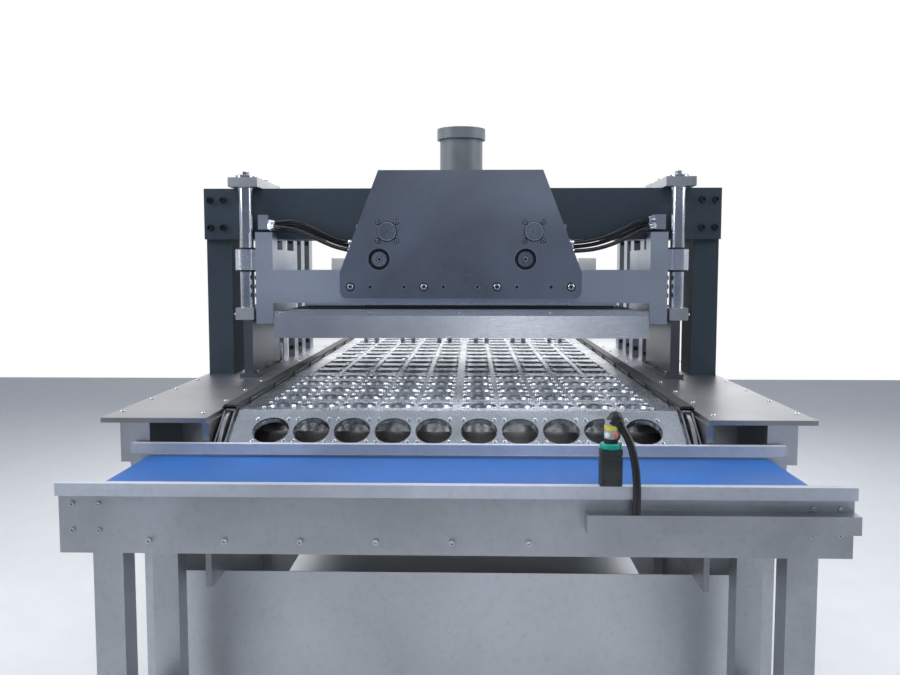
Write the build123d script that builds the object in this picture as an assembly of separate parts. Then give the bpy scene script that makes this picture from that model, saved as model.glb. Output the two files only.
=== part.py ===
from build123d import *
import math
import os

# Millimetres. X runs across the machine, Y along the line away from the outfeed end, Z up.
# Pieces are drawn from the fold: the line on the top of the slats, at Y = 0 and Z = 0, where the
# first flat slat meets the one that dips over the front wheel. Everything is moved as it is saved.

# The slat conveyor.
PITCH = 125.0
TOP_SLATS = 15
SLAT_Z = 930.0
SLAT_GAP = 2.0
SLAT_T = 4.0
SLAT_MARGIN = 79.0
SLAT_RISE = 3.0
LANES = 10
LANE_PITCH = 85.0
CENTRE_EXTRA = 9.0
HOLE_R = 38.0
RING_R = 41.0
RING_BORE_R = 39.0
RING_DEPTH = 9.0
RING_TAPER = 2.7
VERTEX_LEAD = 3.0
TEETH = 6

# The chain at each end of the slats.
CHAIN_GAP = 17.0
ROLLER_R = 8.5
ROLLER_WIDTH = 10.0
LINK_T = 3.5
LINK_HEIGHT = 18.0
LINK_GAP = 0.5
PIN_R = 5.0
PIN_COLLAR = 2.0
PIN_CLEARANCE = 0.2
LUG_LENGTH = 60.0
LUG_T = 12.0
LUG_DROP = 10.0

# Wheels, shafts and bearings.
WHEEL_T = 8.0
WHEEL_OVER = 3.0
ROLLER_SEAT = 0.4
HUB_R = 45.0
HUB_LENGTH = 40.0
SHAFT_R = 25.0
SHAFT_END = 33.0
BEARING_HALF = 60.0
BEARING_T = 14.0
BEARING_BOSS = 28.0
FIT = 0.05

# Frame.
FLOOR_GAP = 80.0
FOOT_R = 40.0
FOOT_T = 12.0
STEM_R = 12.0
LEG = 60.0
BEAM_HEIGHT = 80.0
BEAM_INSET = 70.0
TABLE_T = 10.0
TABLE_GAP = 5.0
TABLE_EDGE = 5.0
SIDE_PLATE_GAP = 17.0
SIDE_PLATE_T = 12.0
SIDE_PLATE_DEPTH = 340.0
FRAME_OVER = 118.0
REAR_OVER = 178.5
LEG_IN = 142.0
CROSS_WIDTH = 60.0
BRACKET_WIDTH = 40.0
BRACKETS = 6
PANEL_T = 20.0
SHEET_T = 3.0
PANEL_LIFT = 20.0
RAIL_WIDTH = 25.0
RAIL_TOP = 12.0
RAIL_T = 5.0
TRACK_REACH = 8.0
RAIL_WEB = 4.0
RAIL_OVER = 10.0
TRACK_T = 12.0
TRACK_IN = 110.0
TRAY_T = 2.5
TRAY_DROP = 50.0
TRAY_INSET = 26.0

# The transverse outfeed conveyor in front.
OUTFEED_GAP = 119.0
OUTFEED_BELT_WIDTH = 300.0
BELT_GAP = 2.0
GUIDE_T = 16.0
CHANNEL_LIP = 3.0
GUIDE_DROP = 47.5
GUIDE_HEIGHT = 21.0
CHANNEL_T = 6.0
CHANNEL_HEIGHT = 99.0
BELT_DROP = 4.0
BELT_T = 4.0
ROLL_R = 30.0
ROLL_SHAFT_R = 10.0
OUTFEED_OVER = 150.0
ROLL_IN = 45.0
POST = 50.0
POST_IN = 60.0
DUCT = 30.0
DUCT_BELOW = 42.5
DUCT_END = 40.0

# The sensor on the near guide.
SENSOR_X = 256.5
SENSOR_WIDTH = 36.0
SENSOR_DEPTH = 22.0
SENSOR_HEIGHT = 60.5
SENSOR_RING = 9.0
PLUG_R = 11.0
ELBOW_AT = (7.0, 11.0, 110.0)
CABLE_R = 6.5
CABLE_NECK = 8.5
CABLE_ROUTE = [
    (14.5, 10.0, 98.3), (26.0, 7.0, 80.5), (34.0, 2.0, 57.5), (38.0, -4.0, 31.5),
    (39.5, -8.5, 4.5), (39.7, -9.5, -19.5), (39.0, -9.0, -42.5),
]

# The lifting press.
HEAD_SLAT = 6
PRESS_BEFORE = 217.0
PRESS_OVER = 208.0
STROKE = 90.0
HEAD_BOTTOM = 104.0
HEAD_LENGTH = 56.0
HEAD_R = 33.0
HEATER_T = 28.0
INSULATION_T = 11.0
TOOL_T = 7.0
HEAD_OVER = 10.0
CROSSBAR_HEIGHT = 88.5
CROSSBAR_DEPTH = 40.0
END_PLATE_T = 47.0
END_PLATE_DROP = 57.0
END_PLATE_RISE = 102.5
FRONT_T = 25.0
FRONT_LIFT = 13.0
FRONT_HALF = 324.0
FRONT_SIDE = 70.0
FRONT_HEIGHT = 341.0
FRONT_NARROWING = 105.0
FRONT_CORNER = 21.0
CAP_X = 196.0
CAP_RISE = 178.6
CAP_R = 25.0
CAP_T = 8.0
RECESS_X = (-218.0, 174.0)
RECESS_RISE = 105.0
RECESS_R = 28.8
RECESS_DEPTH = 16.0
HUB_DISC_R = 20.0
HUB_HOLE_R = 9.0
GUARD_STRIP = 13.0
GUARD_FACE = 60.0
GUARD_LEAN = 12.0
GUARD_T = 2.0
END_GAP = 11.0
STAND_T = 25.0
STAND_FOOT = 12.0
PILLAR_SET = 22.0
PILLAR_R = 20.0
PILLAR_BEFORE = 28.0
PILLAR_AFTER = 35.0
PILLAR_OVER = 25.0
BLOCK_HEIGHT = 33.0
BUSH_R = 32.0
BUSH_LENGTH = 56.0
BUSH_CLEAR = 13.0
GANTRY_SET = 67.0
GANTRY_DEPTH = 157.0
GANTRY_CLEAR = 29.0
GANTRY_HEIGHT = 140.0
GANTRY_POST = 70.0
GANTRY_REACH = 55.0
CYLINDER_R = 60.0
CYLINDER_RISE = 170.0
ROD_R = 20.0

# Hoses and the blocks that hold them.
HOSE_R = 5.5
GLAND_IN = 13.0
GLAND_RISE = 44.0
MANIFOLD_X = 276.0
MANIFOLD_DROP = 25.0
HOSE_BLOCK = 28.0

HOSES = {
    "hose_left_upper": [
        (1.0, -14, 44), (0.792, -26, 51), (0.583, -33, 41), (0.383, -35, 18),
        (0.192, -31, -3), (0.0, -28, -11),
    ],
    "hose_left_middle": [
        (1.0, -10, 31), (0.792, -18, 37), (0.583, -21, 28), (0.383, -21, 6),
        (0.192, -18, -14), (0.0, -16, -23),
    ],
    "hose_left_lower": [
        (1.0, -23, 35), (0.792, -38, 31), (0.583, -43, 17), (0.383, -43, -6),
        (0.192, -39, -26), (0.0, -35, -34),
    ],
    "hose_right_upper": [
        (1.0, -14, 58), (0.808, -26, 47), (0.617, -33, 25), (0.417, -34, 4),
        (0.208, -31, -8), (0.0, -28, -11),
    ],
    "hose_right_middle": [
        (1.0, -10, 44), (0.808, -18, 33), (0.617, -21, 11), (0.417, -20, -9),
        (0.208, -17, -20), (0.0, -16, -23),
    ],
    "hose_right_lower": [
        (1.0, -23, 37), (0.808, -38, 20), (0.617, -43, -4), (0.417, -42, -23),
        (0.208, -39, -33), (0.0, -35, -34),
    ],
}

# The following stations.
STATION_AFTER = 78.0
COLUMN_STEPS = (0.0, 173.0, 305.0, 459.0)
COLUMN_T = 22.0
COLUMN_DEPTH = 60.0
COLUMN_HEIGHT = 402.0
STATION_PLATE = 25.0
PIN_GROUPS = 6
PIN_PITCH = 125.0
PIN_BOTTOM = 43.0
PIN_LENGTH = 21.0
PIN_BODY = 36.0
PIN_BEAM = 60.0
DOSING_R = 24.0
DOSING_BOTTOM = 130.0
DOSING_BEAM = 225.0
DOSING_BEAM_T = 50.0
DOSING_RISE = 40.0

# Derived from the sizes above.
WHEEL_R = PITCH / 2 / math.sin(math.pi / TEETH)
PIVOT_Z = -SLAT_RISE
AXLE_Z = PIVOT_Z - WHEEL_R * math.cos(math.radians(VERTEX_LEAD))
FRONT_AXLE_Y = WHEEL_R * math.sin(math.radians(VERTEX_LEAD))
REAR_AXLE_Y = FRONT_AXLE_Y + PITCH * TOP_SLATS
RETURN_Z = 2 * AXLE_Z - PIVOT_Z
SLAT_HALF = LANE_PITCH * (LANES / 2 - 0.5) + CENTRE_EXTRA / 2 + SLAT_MARGIN
CHAIN_X = SLAT_HALF + CHAIN_GAP
SIDE_PLATE_X = CHAIN_X + SIDE_PLATE_GAP
SIDE_OUT = SIDE_PLATE_X + SIDE_PLATE_T
TABLE_INNER = SIDE_PLATE_X + TABLE_GAP
CROSSBAR_HALF = SIDE_PLATE_X + HEAD_OVER
END_PLATE_OUT = CROSSBAR_HALF + END_PLATE_T
STAND_INNER = END_PLATE_OUT + END_GAP
PILLAR_X = STAND_INNER + PILLAR_SET
GANTRY_INNER = PILLAR_X + GANTRY_REACH
GANTRY_HALF = GANTRY_INNER + GANTRY_POST
TABLE_HALF = GANTRY_HALF + TABLE_EDGE
BEAM_X = TABLE_HALF - BEAM_INSET
FLOOR = -SLAT_Z
LEG_BOTTOM = FLOOR + FLOOR_GAP
BEAM_TOP = -TABLE_T
BEAM_BOTTOM = BEAM_TOP - BEAM_HEIGHT
FRAME_FRONT = FRONT_AXLE_Y - FRAME_OVER
FRAME_REAR = REAR_AXLE_Y + REAR_OVER
LEG_Y = (
    FRAME_FRONT + LEG_IN,
    (FRAME_FRONT + FRAME_REAR) / 2,
    FRAME_REAR - LEG,
)
GUIDE_TOP = -GUIDE_DROP
CHANNEL_TOP = GUIDE_TOP - GUIDE_HEIGHT
CHANNEL_BOTTOM = CHANNEL_TOP - CHANNEL_HEIGHT
BELT_TOP = CHANNEL_TOP - BELT_DROP
ROLL_Z = BELT_TOP - BELT_T - ROLL_R
OUTFEED_FAR = -OUTFEED_GAP
BELT_FAR = OUTFEED_FAR - GUIDE_T - CHANNEL_LIP - BELT_GAP
BELT_NEAR = BELT_FAR - OUTFEED_BELT_WIDTH
OUTFEED_NEAR = BELT_NEAR - BELT_GAP - CHANNEL_LIP - GUIDE_T
OUTFEED_HALF = SIDE_PLATE_X + OUTFEED_OVER
ROLL_X = OUTFEED_HALF - ROLL_IN
CHANNEL_NEAR = BELT_NEAR - BELT_GAP - CHANNEL_T
DUCT_FRONT = CHANNEL_NEAR - DUCT
DUCT_TOP = GUIDE_TOP - DUCT_BELOW
SENSOR_Y = OUTFEED_NEAR + SENSOR_DEPTH / 2
SENSOR_CABLE = [(SENSOR_X + x, OUTFEED_NEAR + y, GUIDE_TOP + z) for x, y, z in CABLE_ROUTE]
HEATER_BOTTOM = HEAD_BOTTOM + HEAD_LENGTH
HEATER_TOP = HEATER_BOTTOM + HEATER_T
INSULATION_TOP = HEATER_TOP + INSULATION_T
CROSSBAR_BOTTOM = INSULATION_TOP + TOOL_T
CROSSBAR_TOP = CROSSBAR_BOTTOM + CROSSBAR_HEIGHT
END_PLATE_BOTTOM = CROSSBAR_BOTTOM - END_PLATE_DROP
END_PLATE_TOP = CROSSBAR_TOP + END_PLATE_RISE
FRONT_BOTTOM = CROSSBAR_BOTTOM + FRONT_LIFT
FRONT_TOP = FRONT_BOTTOM + FRONT_HEIGHT
GUARD_TOP = HEATER_TOP - 4
BUSH_BOTTOM = CROSSBAR_TOP + 0.5
BUSH_TOP = BUSH_BOTTOM + BUSH_LENGTH
BLOCK_TOP = BUSH_BOTTOM - STROKE - BUSH_CLEAR
STAND_TOP = BLOCK_TOP - BLOCK_HEIGHT
PRESS_FRONT = PITCH * HEAD_SLAT - PRESS_BEFORE
PRESS_REAR = PRESS_FRONT + PITCH + PRESS_OVER
HEAD_REAR = PRESS_REAR - 23
GANTRY_FRONT = PRESS_FRONT + GANTRY_SET
GANTRY_REAR = GANTRY_FRONT + GANTRY_DEPTH
GANTRY_MIDDLE = (GANTRY_FRONT + GANTRY_REAR) / 2
GANTRY_BOTTOM = BUSH_TOP + GANTRY_CLEAR
GANTRY_TOP = GANTRY_BOTTOM + GANTRY_HEIGHT
PILLAR_Y = (GANTRY_FRONT - PILLAR_BEFORE, GANTRY_REAR + PILLAR_AFTER)
PILLAR_TOP = GANTRY_TOP + PILLAR_OVER
HEAD_ROWS = (PITCH * (HEAD_SLAT - 0.5), PITCH * (HEAD_SLAT + 0.5))
GLAND_X = END_PLATE_OUT - GLAND_IN
GLAND_Z = GANTRY_BOTTOM + GLAND_RISE
MANIFOLD_Z = GANTRY_BOTTOM - MANIFOLD_DROP
COLUMN_X = STAND_INNER + 3
COLUMN_Y = [PRESS_REAR + STATION_AFTER + step for step in COLUMN_STEPS]
FOLD_Y = -(DUCT_FRONT + FRAME_REAR) / 2
LANE_X = [
    side * (LANE_PITCH * (lane + 0.5) + CENTRE_EXTRA / 2)
    for side in (-1, 1)
    for lane in range(LANES // 2)
]


def block(x, y, z):
    """A box from three (low, high) pairs."""
    middle = [(low + high) / 2 for low, high in (x, y, z)]
    return Pos(*middle) * Box(x[1] - x[0], y[1] - y[0], z[1] - z[0])


def sides(x, y, z):
    """The same box on the right and, mirrored, on the left."""
    return [block(x, y, z), block((-x[1], -x[0]), y, z)]


def rod(x, y, z, r, length, axis="Z"):
    """A cylinder from a point along one axis."""
    turn = {"X": Rot(0, 90, 0), "Y": Rot(-90, 0, 0), "Z": Rot(0, 0, 0)}[axis]
    return Pos(x, y, z) * turn * Pos(0, 0, length / 2) * Cylinder(r, length)


def profile_x(points, x_low, x_high):
    """A closed outline of (y, z) points, run from one X to another."""
    face = make_face(Polyline(*[(x_low, y, z) for y, z in points], close=True))
    return extrude(face, amount=x_high - x_low, dir=(1, 0, 0))


def mirrored(solid):
    return mirror(solid, about=Plane.YZ)


def save(name, *solids):
    """Moves the solids to the shared frame and writes one node."""
    placed = []
    for item in solids:
        placed += (Pos(0, FOLD_Y, SLAT_Z) * item).solids()
    export_step(Compound(children=placed), f"parts/{name}.step")


def wheel_point(axle_y, angle):
    """A pivot on a chain wheel, at an angle from the top towards the front."""
    a = math.radians(angle)
    return axle_y - WHEEL_R * math.sin(a), AXLE_Z + WHEEL_R * math.cos(a)


def chain_pivots():
    step = 360 / TEETH
    front = [wheel_point(FRONT_AXLE_Y, VERTEX_LEAD + step * i) for i in range(TEETH // 2 + 1)]
    rear = [wheel_point(REAR_AXLE_Y, VERTEX_LEAD + 180 + step * i) for i in range(TEETH // 2 + 1)]
    back = [(front[-1][0] + PITCH * i, front[-1][1]) for i in range(1, TOP_SLATS)]
    top = [(rear[-1][0] - PITCH * i, rear[-1][1]) for i in range(1, TOP_SLATS)]
    return front + back + rear + top


def link_places():
    """Where each link sits: the middle of its pivots, turned so that its own Z faces outward."""
    pivots = chain_pivots()
    places = []
    for start, end in zip(pivots, pivots[1:] + pivots[:1]):
        turn = math.degrees(math.atan2(start[1] - end[1], start[0] - end[0]))
        middle = ((start[0] + end[0]) / 2, (start[1] + end[1]) / 2)
        places.append(Pos(0, *middle) * Rot(turn, 0, 0))
    return places


def link_plate(x, t):
    half = PITCH / 2
    face = Plane.YZ * SlotCenterToCenter(PITCH, LINK_HEIGHT)
    cut = [Plane.YZ * Pos(s * half, 0) * Circle(PIN_R + PIN_CLEARANCE) for s in (-1, 1)]
    return Pos(x - t / 2, 0, 0) * extrude(face - cut, amount=t, dir=(1, 0, 0))


def inner_link(x):
    """Two plates joined by the rollers that ride on the track."""
    reach = ROLLER_WIDTH / 2 + LINK_T / 2
    link = link_plate(x - reach, LINK_T) + link_plate(x + reach, LINK_T)
    for y in (-PITCH / 2, PITCH / 2):
        roller = rod(x - ROLLER_WIDTH / 2, y, 0, ROLLER_R, ROLLER_WIDTH, "X")
        link += roller - rod(x - reach, y, 0, PIN_R + PIN_CLEARANCE, 2 * reach, "X")
    return link


def outer_link(x):
    """Two plates joined by the pins."""
    reach = ROLLER_WIDTH / 2 + LINK_T + LINK_GAP + LINK_T / 2
    link = link_plate(x - reach, LINK_T) + link_plate(x + reach, LINK_T)
    for y in (-PITCH / 2, PITCH / 2):
        pin = rod(x - reach - LINK_T / 2, y, 0, PIN_R, 2 * reach + LINK_T, "X")
        socket = [
            rod(x + s * reach - LINK_T / 2, y, 0, PIN_R + PIN_COLLAR, LINK_T, "X") for s in (-1, 1)
        ]
        link = link + socket + pin
    return link


def slat(lug_end):
    """A plate with ten holes, a holder ring under each and a lug at both ends."""
    plate = Pos(0, 0, SLAT_RISE - SLAT_T / 2) * Box(2 * SLAT_HALF, PITCH - SLAT_GAP, SLAT_T)
    under = SLAT_RISE - SLAT_T
    for x in LANE_X:
        plate += Pos(x, 0, under - RING_DEPTH / 2) * Cylinder(RING_R, RING_DEPTH)
    for x in LANE_X:
        plate -= Pos(x, 0, SLAT_RISE - SLAT_T / 2) * Cylinder(HOLE_R, SLAT_T + 1)
        taper = Cone(RING_BORE_R - RING_TAPER, RING_BORE_R, RING_DEPTH)
        plate -= Pos(x, 0, under - RING_DEPTH / 2) * taper
    low, high = lug_end - LUG_T, lug_end
    for lug in sides((low, high), (-LUG_LENGTH / 2, LUG_LENGTH / 2), (-LUG_DROP, under)):
        plate += lug
    return plate


def save_slats(places):
    inner_face = CHAIN_X - ROLLER_WIDTH / 2 - LINK_T
    outer_face = inner_face - LINK_GAP - LINK_T
    kinds = [slat(outer_face), slat(inner_face)]
    slats = [place * kinds[i % 2] for i, place in enumerate(places)]
    turn = TEETH // 2
    save("slats_front_turn", *slats[:turn])
    save("slats_return", *slats[turn : 2 * turn + TOP_SLATS])
    save("slats_near", *slats[-2:])
    save("slats_top", *slats[2 * turn + TOP_SLATS : -2])


def save_chains(places):
    links = []
    for side in (-1, 1):
        kinds = [outer_link(side * CHAIN_X), inner_link(side * CHAIN_X)]
        links += [place * kinds[i % 2] for i, place in enumerate(places)]
    save("slat_chains", *links)


def chain_wheel(axle_y):
    disc = Plane.YZ * Circle(WHEEL_R + WHEEL_OVER)
    for tooth in range(TEETH):
        y, z = wheel_point(axle_y, VERTEX_LEAD + 360 / TEETH * tooth)
        away = Plane.YZ * Pos(y - axle_y, z - AXLE_Z) * Circle(ROLLER_R + ROLLER_SEAT)
        disc -= away
    disc -= Plane.YZ * Circle(SHAFT_R + FIT)
    wheel = extrude(disc, amount=WHEEL_T / 2, dir=(1, 0, 0), both=True)
    hub = rod(-HUB_LENGTH - WHEEL_T / 2, 0, 0, HUB_R, HUB_LENGTH, "X")
    wheel += hub - rod(-2 * HUB_LENGTH, 0, 0, SHAFT_R + FIT, 3 * HUB_LENGTH, "X")
    right = Pos(CHAIN_X, axle_y, AXLE_Z) * wheel
    return right, mirrored(right)


def save_wheels():
    wheels = []
    shafts = []
    bearings = []
    half = SIDE_OUT + SHAFT_END
    for axle_y in (FRONT_AXLE_Y, REAR_AXLE_Y):
        wheels += chain_wheel(axle_y)
        shafts.append(rod(-half, axle_y, AXLE_Z, SHAFT_R, 2 * half, "X"))
        flange = block(
            (SIDE_OUT, SIDE_OUT + BEARING_T),
            (axle_y - BEARING_HALF, axle_y + BEARING_HALF),
            (AXLE_Z - BEARING_HALF, AXLE_Z + BEARING_HALF),
        )
        flange += rod(SIDE_OUT, axle_y, AXLE_Z, HUB_R, BEARING_BOSS, "X")
        flange -= rod(SIDE_OUT, axle_y, AXLE_Z, SHAFT_R + FIT, BEARING_BOSS, "X")
        bearings += [flange, mirrored(flange)]
    save("chain_wheels", *wheels)
    save("wheel_shafts", *shafts)
    save("bearings", *bearings)


def save_legs():
    posts = []
    feet = []
    for y in LEG_Y:
        span = (y - LEG / 2, y + LEG / 2)
        posts += sides((BEAM_X - LEG / 2, BEAM_X + LEG / 2), span, (LEG_BOTTOM, BEAM_BOTTOM))
        for x in (-BEAM_X, BEAM_X):
            foot = rod(x, y, FLOOR, FOOT_R, FOOT_T)
            feet.append(foot + rod(x, y, FLOOR + FOOT_T, STEM_R, FLOOR_GAP - FOOT_T))
    save("legs", *posts)
    save("levelling_feet", *feet)


def save_long_members():
    length = (FRAME_FRONT, FRAME_REAR)
    beam = (BEAM_X - LEG / 2, BEAM_X + LEG / 2)
    save("long_beams", *sides(beam, length, (BEAM_BOTTOM, BEAM_TOP)))
    save("table_plates", *sides((TABLE_INNER, TABLE_HALF), length, (BEAM_TOP, 0)))
    span = (FRAME_FRONT, FRAME_REAR - PANEL_T)
    plates = sides((SIDE_PLATE_X, SIDE_OUT), span, (BEAM_TOP - SIDE_PLATE_DEPTH, BEAM_TOP))
    for axle_y in (FRONT_AXLE_Y, REAR_AXLE_Y):
        hole = rod(-TABLE_HALF, axle_y, AXLE_Z, SHAFT_R + TABLE_GAP, 2 * TABLE_HALF, "X")
        plates = [plate - hole for plate in plates]
    save("side_frames", *plates)


def save_guides():
    """The strip over each chain and the tracks that its rollers run on."""
    length = (FRONT_AXLE_Y - RAIL_OVER - TRACK_REACH, REAR_AXLE_Y + RAIL_OVER)
    web = SIDE_PLATE_X - RAIL_WEB
    track_top = PIVOT_Z - ROLLER_R - LINK_GAP
    guide = block((CHAIN_X - RAIL_WIDTH / 2, web), length, (RAIL_TOP - RAIL_T, RAIL_TOP))
    guide += block((web, SIDE_PLATE_X), length, (track_top, RAIL_TOP - RAIL_WEB))
    save("chain_guides", guide, mirrored(guide))
    tracks = []
    span = (FRONT_AXLE_Y + TRACK_IN, REAR_AXLE_Y - TRACK_IN)
    for z in (PIVOT_Z, RETURN_Z):
        top = z - ROLLER_R - LINK_GAP
        tracks += sides((CHAIN_X - TRACK_REACH, SIDE_PLATE_X), span, (top - TRACK_T, top))
    save("chain_tracks", *tracks)


def cross_places():
    """Between the wheels, the middles of the beams that tie the two side plates."""
    clear = WHEEL_R + 3 * CROSS_WIDTH
    return [
        FRONT_AXLE_Y + clear + (REAR_AXLE_Y - FRONT_AXLE_Y - 2 * clear) * i / 2 for i in range(3)
    ]


def save_cross_members():
    half = CROSS_WIDTH / 2
    members = [
        block((-SIDE_PLATE_X, SIDE_PLATE_X), (y - half, y + half), (AXLE_Z - half, AXLE_Z + half))
        for y in cross_places()
    ]
    inner = BEAM_X - LEG / 2
    tie = (LEG_BOTTOM + PANEL_LIFT, LEG_BOTTOM + PANEL_LIFT + CROSS_WIDTH)
    for y in LEG_Y:
        members.append(block((-inner, inner), (y + 5 - half, y - 5 + half), tie))
    first = FRONT_AXLE_Y + BEARING_HALF + BRACKET_WIDTH
    last = REAR_AXLE_Y - BEARING_HALF - BRACKET_WIDTH
    for i in range(BRACKETS):
        y = first + (last - first) * i / (BRACKETS - 1)
        span = (y - BRACKET_WIDTH / 2, y + BRACKET_WIDTH / 2)
        members += sides((SIDE_OUT, inner), span, (BEAM_BOTTOM, BEAM_TOP))
    reach = (BELT_FAR + BELT_GAP + CHANNEL_T, FRAME_FRONT)
    foot = (max(CHANNEL_BOTTOM, BEAM_TOP - SIDE_PLATE_DEPTH) + TABLE_GAP, BEAM_BOTTOM)
    members += sides((SIDE_PLATE_X, SIDE_OUT), reach, foot)
    save("cross_members", *members)


def save_panels():
    panels = []
    low = LEG_BOTTOM + PANEL_LIFT
    for front, rear in zip(LEG_Y, LEG_Y[1:]):
        span = (front + LEG / 2, rear - LEG / 2)
        panels += sides((BEAM_X, BEAM_X + PANEL_T), span, (low, BEAM_BOTTOM))
    inner = (-BEAM_X + LEG / 2, BEAM_X - LEG / 2)
    front = LEG_Y[0] - LEG / 2
    below = BEAM_TOP - SIDE_PLATE_DEPTH - TABLE_GAP
    panels.append(block(inner, (front, front + SHEET_T), (low, below)))
    rear = FRAME_REAR - PANEL_T + TABLE_GAP
    panels.append(block(inner, (rear, rear + SHEET_T), (low, BEAM_TOP)))
    save("closing_panels", *panels)


def save_tray():
    """A thin sheet under the upper strand that follows the dip over the front wheel."""
    drop = math.radians(180 / TEETH + VERTEX_LEAD)
    bend = (FRONT_AXLE_Y + TRAY_INSET / 2, -TRAY_DROP)
    dip = PITCH
    edge = (bend[0] - dip * math.cos(drop), bend[1] - dip * math.sin(drop))
    end = REAR_AXLE_Y
    top = [(end, bend[1]), bend, edge]
    under = [
        (edge[0] + TRAY_T, edge[1] - TRAY_T),
        (bend[0] + TRAY_T / 2, bend[1] - TRAY_T),
        (end, bend[1] - TRAY_T),
    ]
    half = SLAT_HALF - TRAY_INSET
    tray = profile_x(top + under, -half, half)
    depth = (AXLE_Z + CROSS_WIDTH / 2, bend[1] - TRAY_T / 2)
    for y in cross_places():
        span = (y - BRACKET_WIDTH / 2, y + BRACKET_WIDTH / 2)
        for foot in sides((half - BRACKET_WIDTH, half), span, depth):
            tray += foot
    save("inner_tray", tray)


def save_outfeed():
    half = OUTFEED_HALF
    long = (-half, half)
    guide_z = (CHANNEL_TOP, GUIDE_TOP)
    far_guide = block(long, (OUTFEED_FAR - GUIDE_T, OUTFEED_FAR), guide_z)
    near_guide = block(long, (OUTFEED_NEAR, OUTFEED_NEAR + GUIDE_T), guide_z)
    save("outfeed_guides", far_guide, near_guide)
    middle = (BELT_FAR + BELT_NEAR) / 2
    width = OUTFEED_BELT_WIDTH
    inside = (BELT_NEAR - BELT_GAP, BELT_FAR + BELT_GAP)
    channel_z = (CHANNEL_BOTTOM, CHANNEL_TOP)
    channels = [
        block(long, (inside[0] - CHANNEL_T, inside[0]), channel_z),
        block(long, (inside[1], inside[1] + CHANNEL_T), channel_z),
    ]
    reach = inside[1] - inside[0] + 2 * CHANNEL_T
    rolls = []
    for x in (-ROLL_X, ROLL_X):
        start = inside[0] - CHANNEL_T
        hole = rod(x, start, ROLL_Z, ROLL_SHAFT_R + FIT, reach, "Y")
        channels = [channel - hole for channel in channels]
        roll = rod(x, BELT_NEAR, ROLL_Z, ROLL_R - FIT, width, "Y")
        rolls.append(roll + rod(x, start, ROLL_Z, ROLL_SHAFT_R, reach, "Y"))
    low = inside[0] - CHANNEL_T
    duct = block((SENSOR_X - DUCT_END, half), (DUCT_FRONT, low), (DUCT_TOP - DUCT, DUCT_TOP))
    save("outfeed_channels", channels[0] + duct, channels[1])
    outer = Plane.XZ * SlotCenterToCenter(2 * ROLL_X, 2 * (ROLL_R + BELT_T))
    inner = Plane.XZ * SlotCenterToCenter(2 * ROLL_X, 2 * ROLL_R)
    belt = extrude(outer - inner, amount=width / 2, both=True)
    save("outfeed_belt", Pos(0, middle, ROLL_Z) * belt)
    bed_half = ROLL_X - ROLL_R - BELT_T
    bed_z = (ROLL_Z - ROLL_R + BELT_T, ROLL_Z + ROLL_R - BELT_T / 4)
    save("outfeed_bed_and_rolls", block((-bed_half, bed_half), inside, bed_z), *rolls)
    high = inside[1] + CHANNEL_T
    post_x = (ROLL_X - POST_IN, ROLL_X - POST_IN + POST)
    foot_x = (post_x[0] - CROSS_WIDTH / 3, post_x[1] + CROSS_WIDTH / 3)
    tie_z = ((FLOOR + CHANNEL_BOTTOM) / 2 - POST / 2, (FLOOR + CHANNEL_BOTTOM) / 2 + POST / 2)
    near_posts = sides(post_x, (low, low + POST), (FLOOR + FOOT_T, CHANNEL_BOTTOM))
    far_posts = sides(post_x, (high - POST, high), (FLOOR + FOOT_T, CHANNEL_BOTTOM))
    feet = sides(foot_x, (low, high), (FLOOR, FLOOR + FOOT_T))
    ties = sides(post_x, (low + POST, high - POST), tie_z)
    stand = [near_posts[i] + far_posts[i] + feet[i] + ties[i] for i in (0, 1)]
    save("outfeed_stand", *stand)


def save_sensor():
    """A block on the near guide, its round head, and an angled plug with a cable."""
    x, y = SENSOR_X, SENSOR_Y
    top = GUIDE_TOP + SENSOR_HEIGHT
    half = SENSOR_WIDTH / 2
    body = block((x - half, x + half), (y - SENSOR_DEPTH / 2, y + SENSOR_DEPTH / 2), (GUIDE_TOP, top))
    body = fillet(body.edges().filter_by(Axis.Z), 4)
    body += rod(x, y, top, SENSOR_DEPTH / 2 - 1, SENSOR_RING)
    save("sensor", body)
    base = top + SENSOR_RING
    elbow = Vector(x + ELBOW_AT[0], OUTFEED_NEAR + ELBOW_AT[1], GUIDE_TOP + ELBOW_AT[2])
    plug = rod(x, y, base, PLUG_R, elbow.Z - base)
    plug += Pos(*elbow) * Sphere(PLUG_R)
    aim = Vector(*SENSOR_CABLE[0]) - elbow
    neck = Plane(origin=elbow, z_dir=aim) * Pos(0, 0, aim.length / 2)
    plug += neck * Cylinder(CABLE_NECK, aim.length)
    save("sensor_plug", plug)
    save("sensor_cable", tube(SENSOR_CABLE, CABLE_R))


def tube(points, r):
    """A round tube along straight runs joined by tangent arcs."""
    corners = [Vector(*point) for point in points]
    radii = []
    for before, here, after in zip(corners, corners[1:], corners[2:]):
        turn = math.radians((here - before).get_angle(after - here))
        run = min((here - before).length, (after - here).length)
        radii.append(0.45 * run / math.tan(turn / 2))
    path = FilletPolyline(*corners, radius=radii)
    print(round(min(radii), 1), "smallest radius of", round(path.length, 1))
    start = Plane(origin=corners[0], z_dir=corners[1] - corners[0])
    return sweep(start * Circle(r), path=path)


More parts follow.
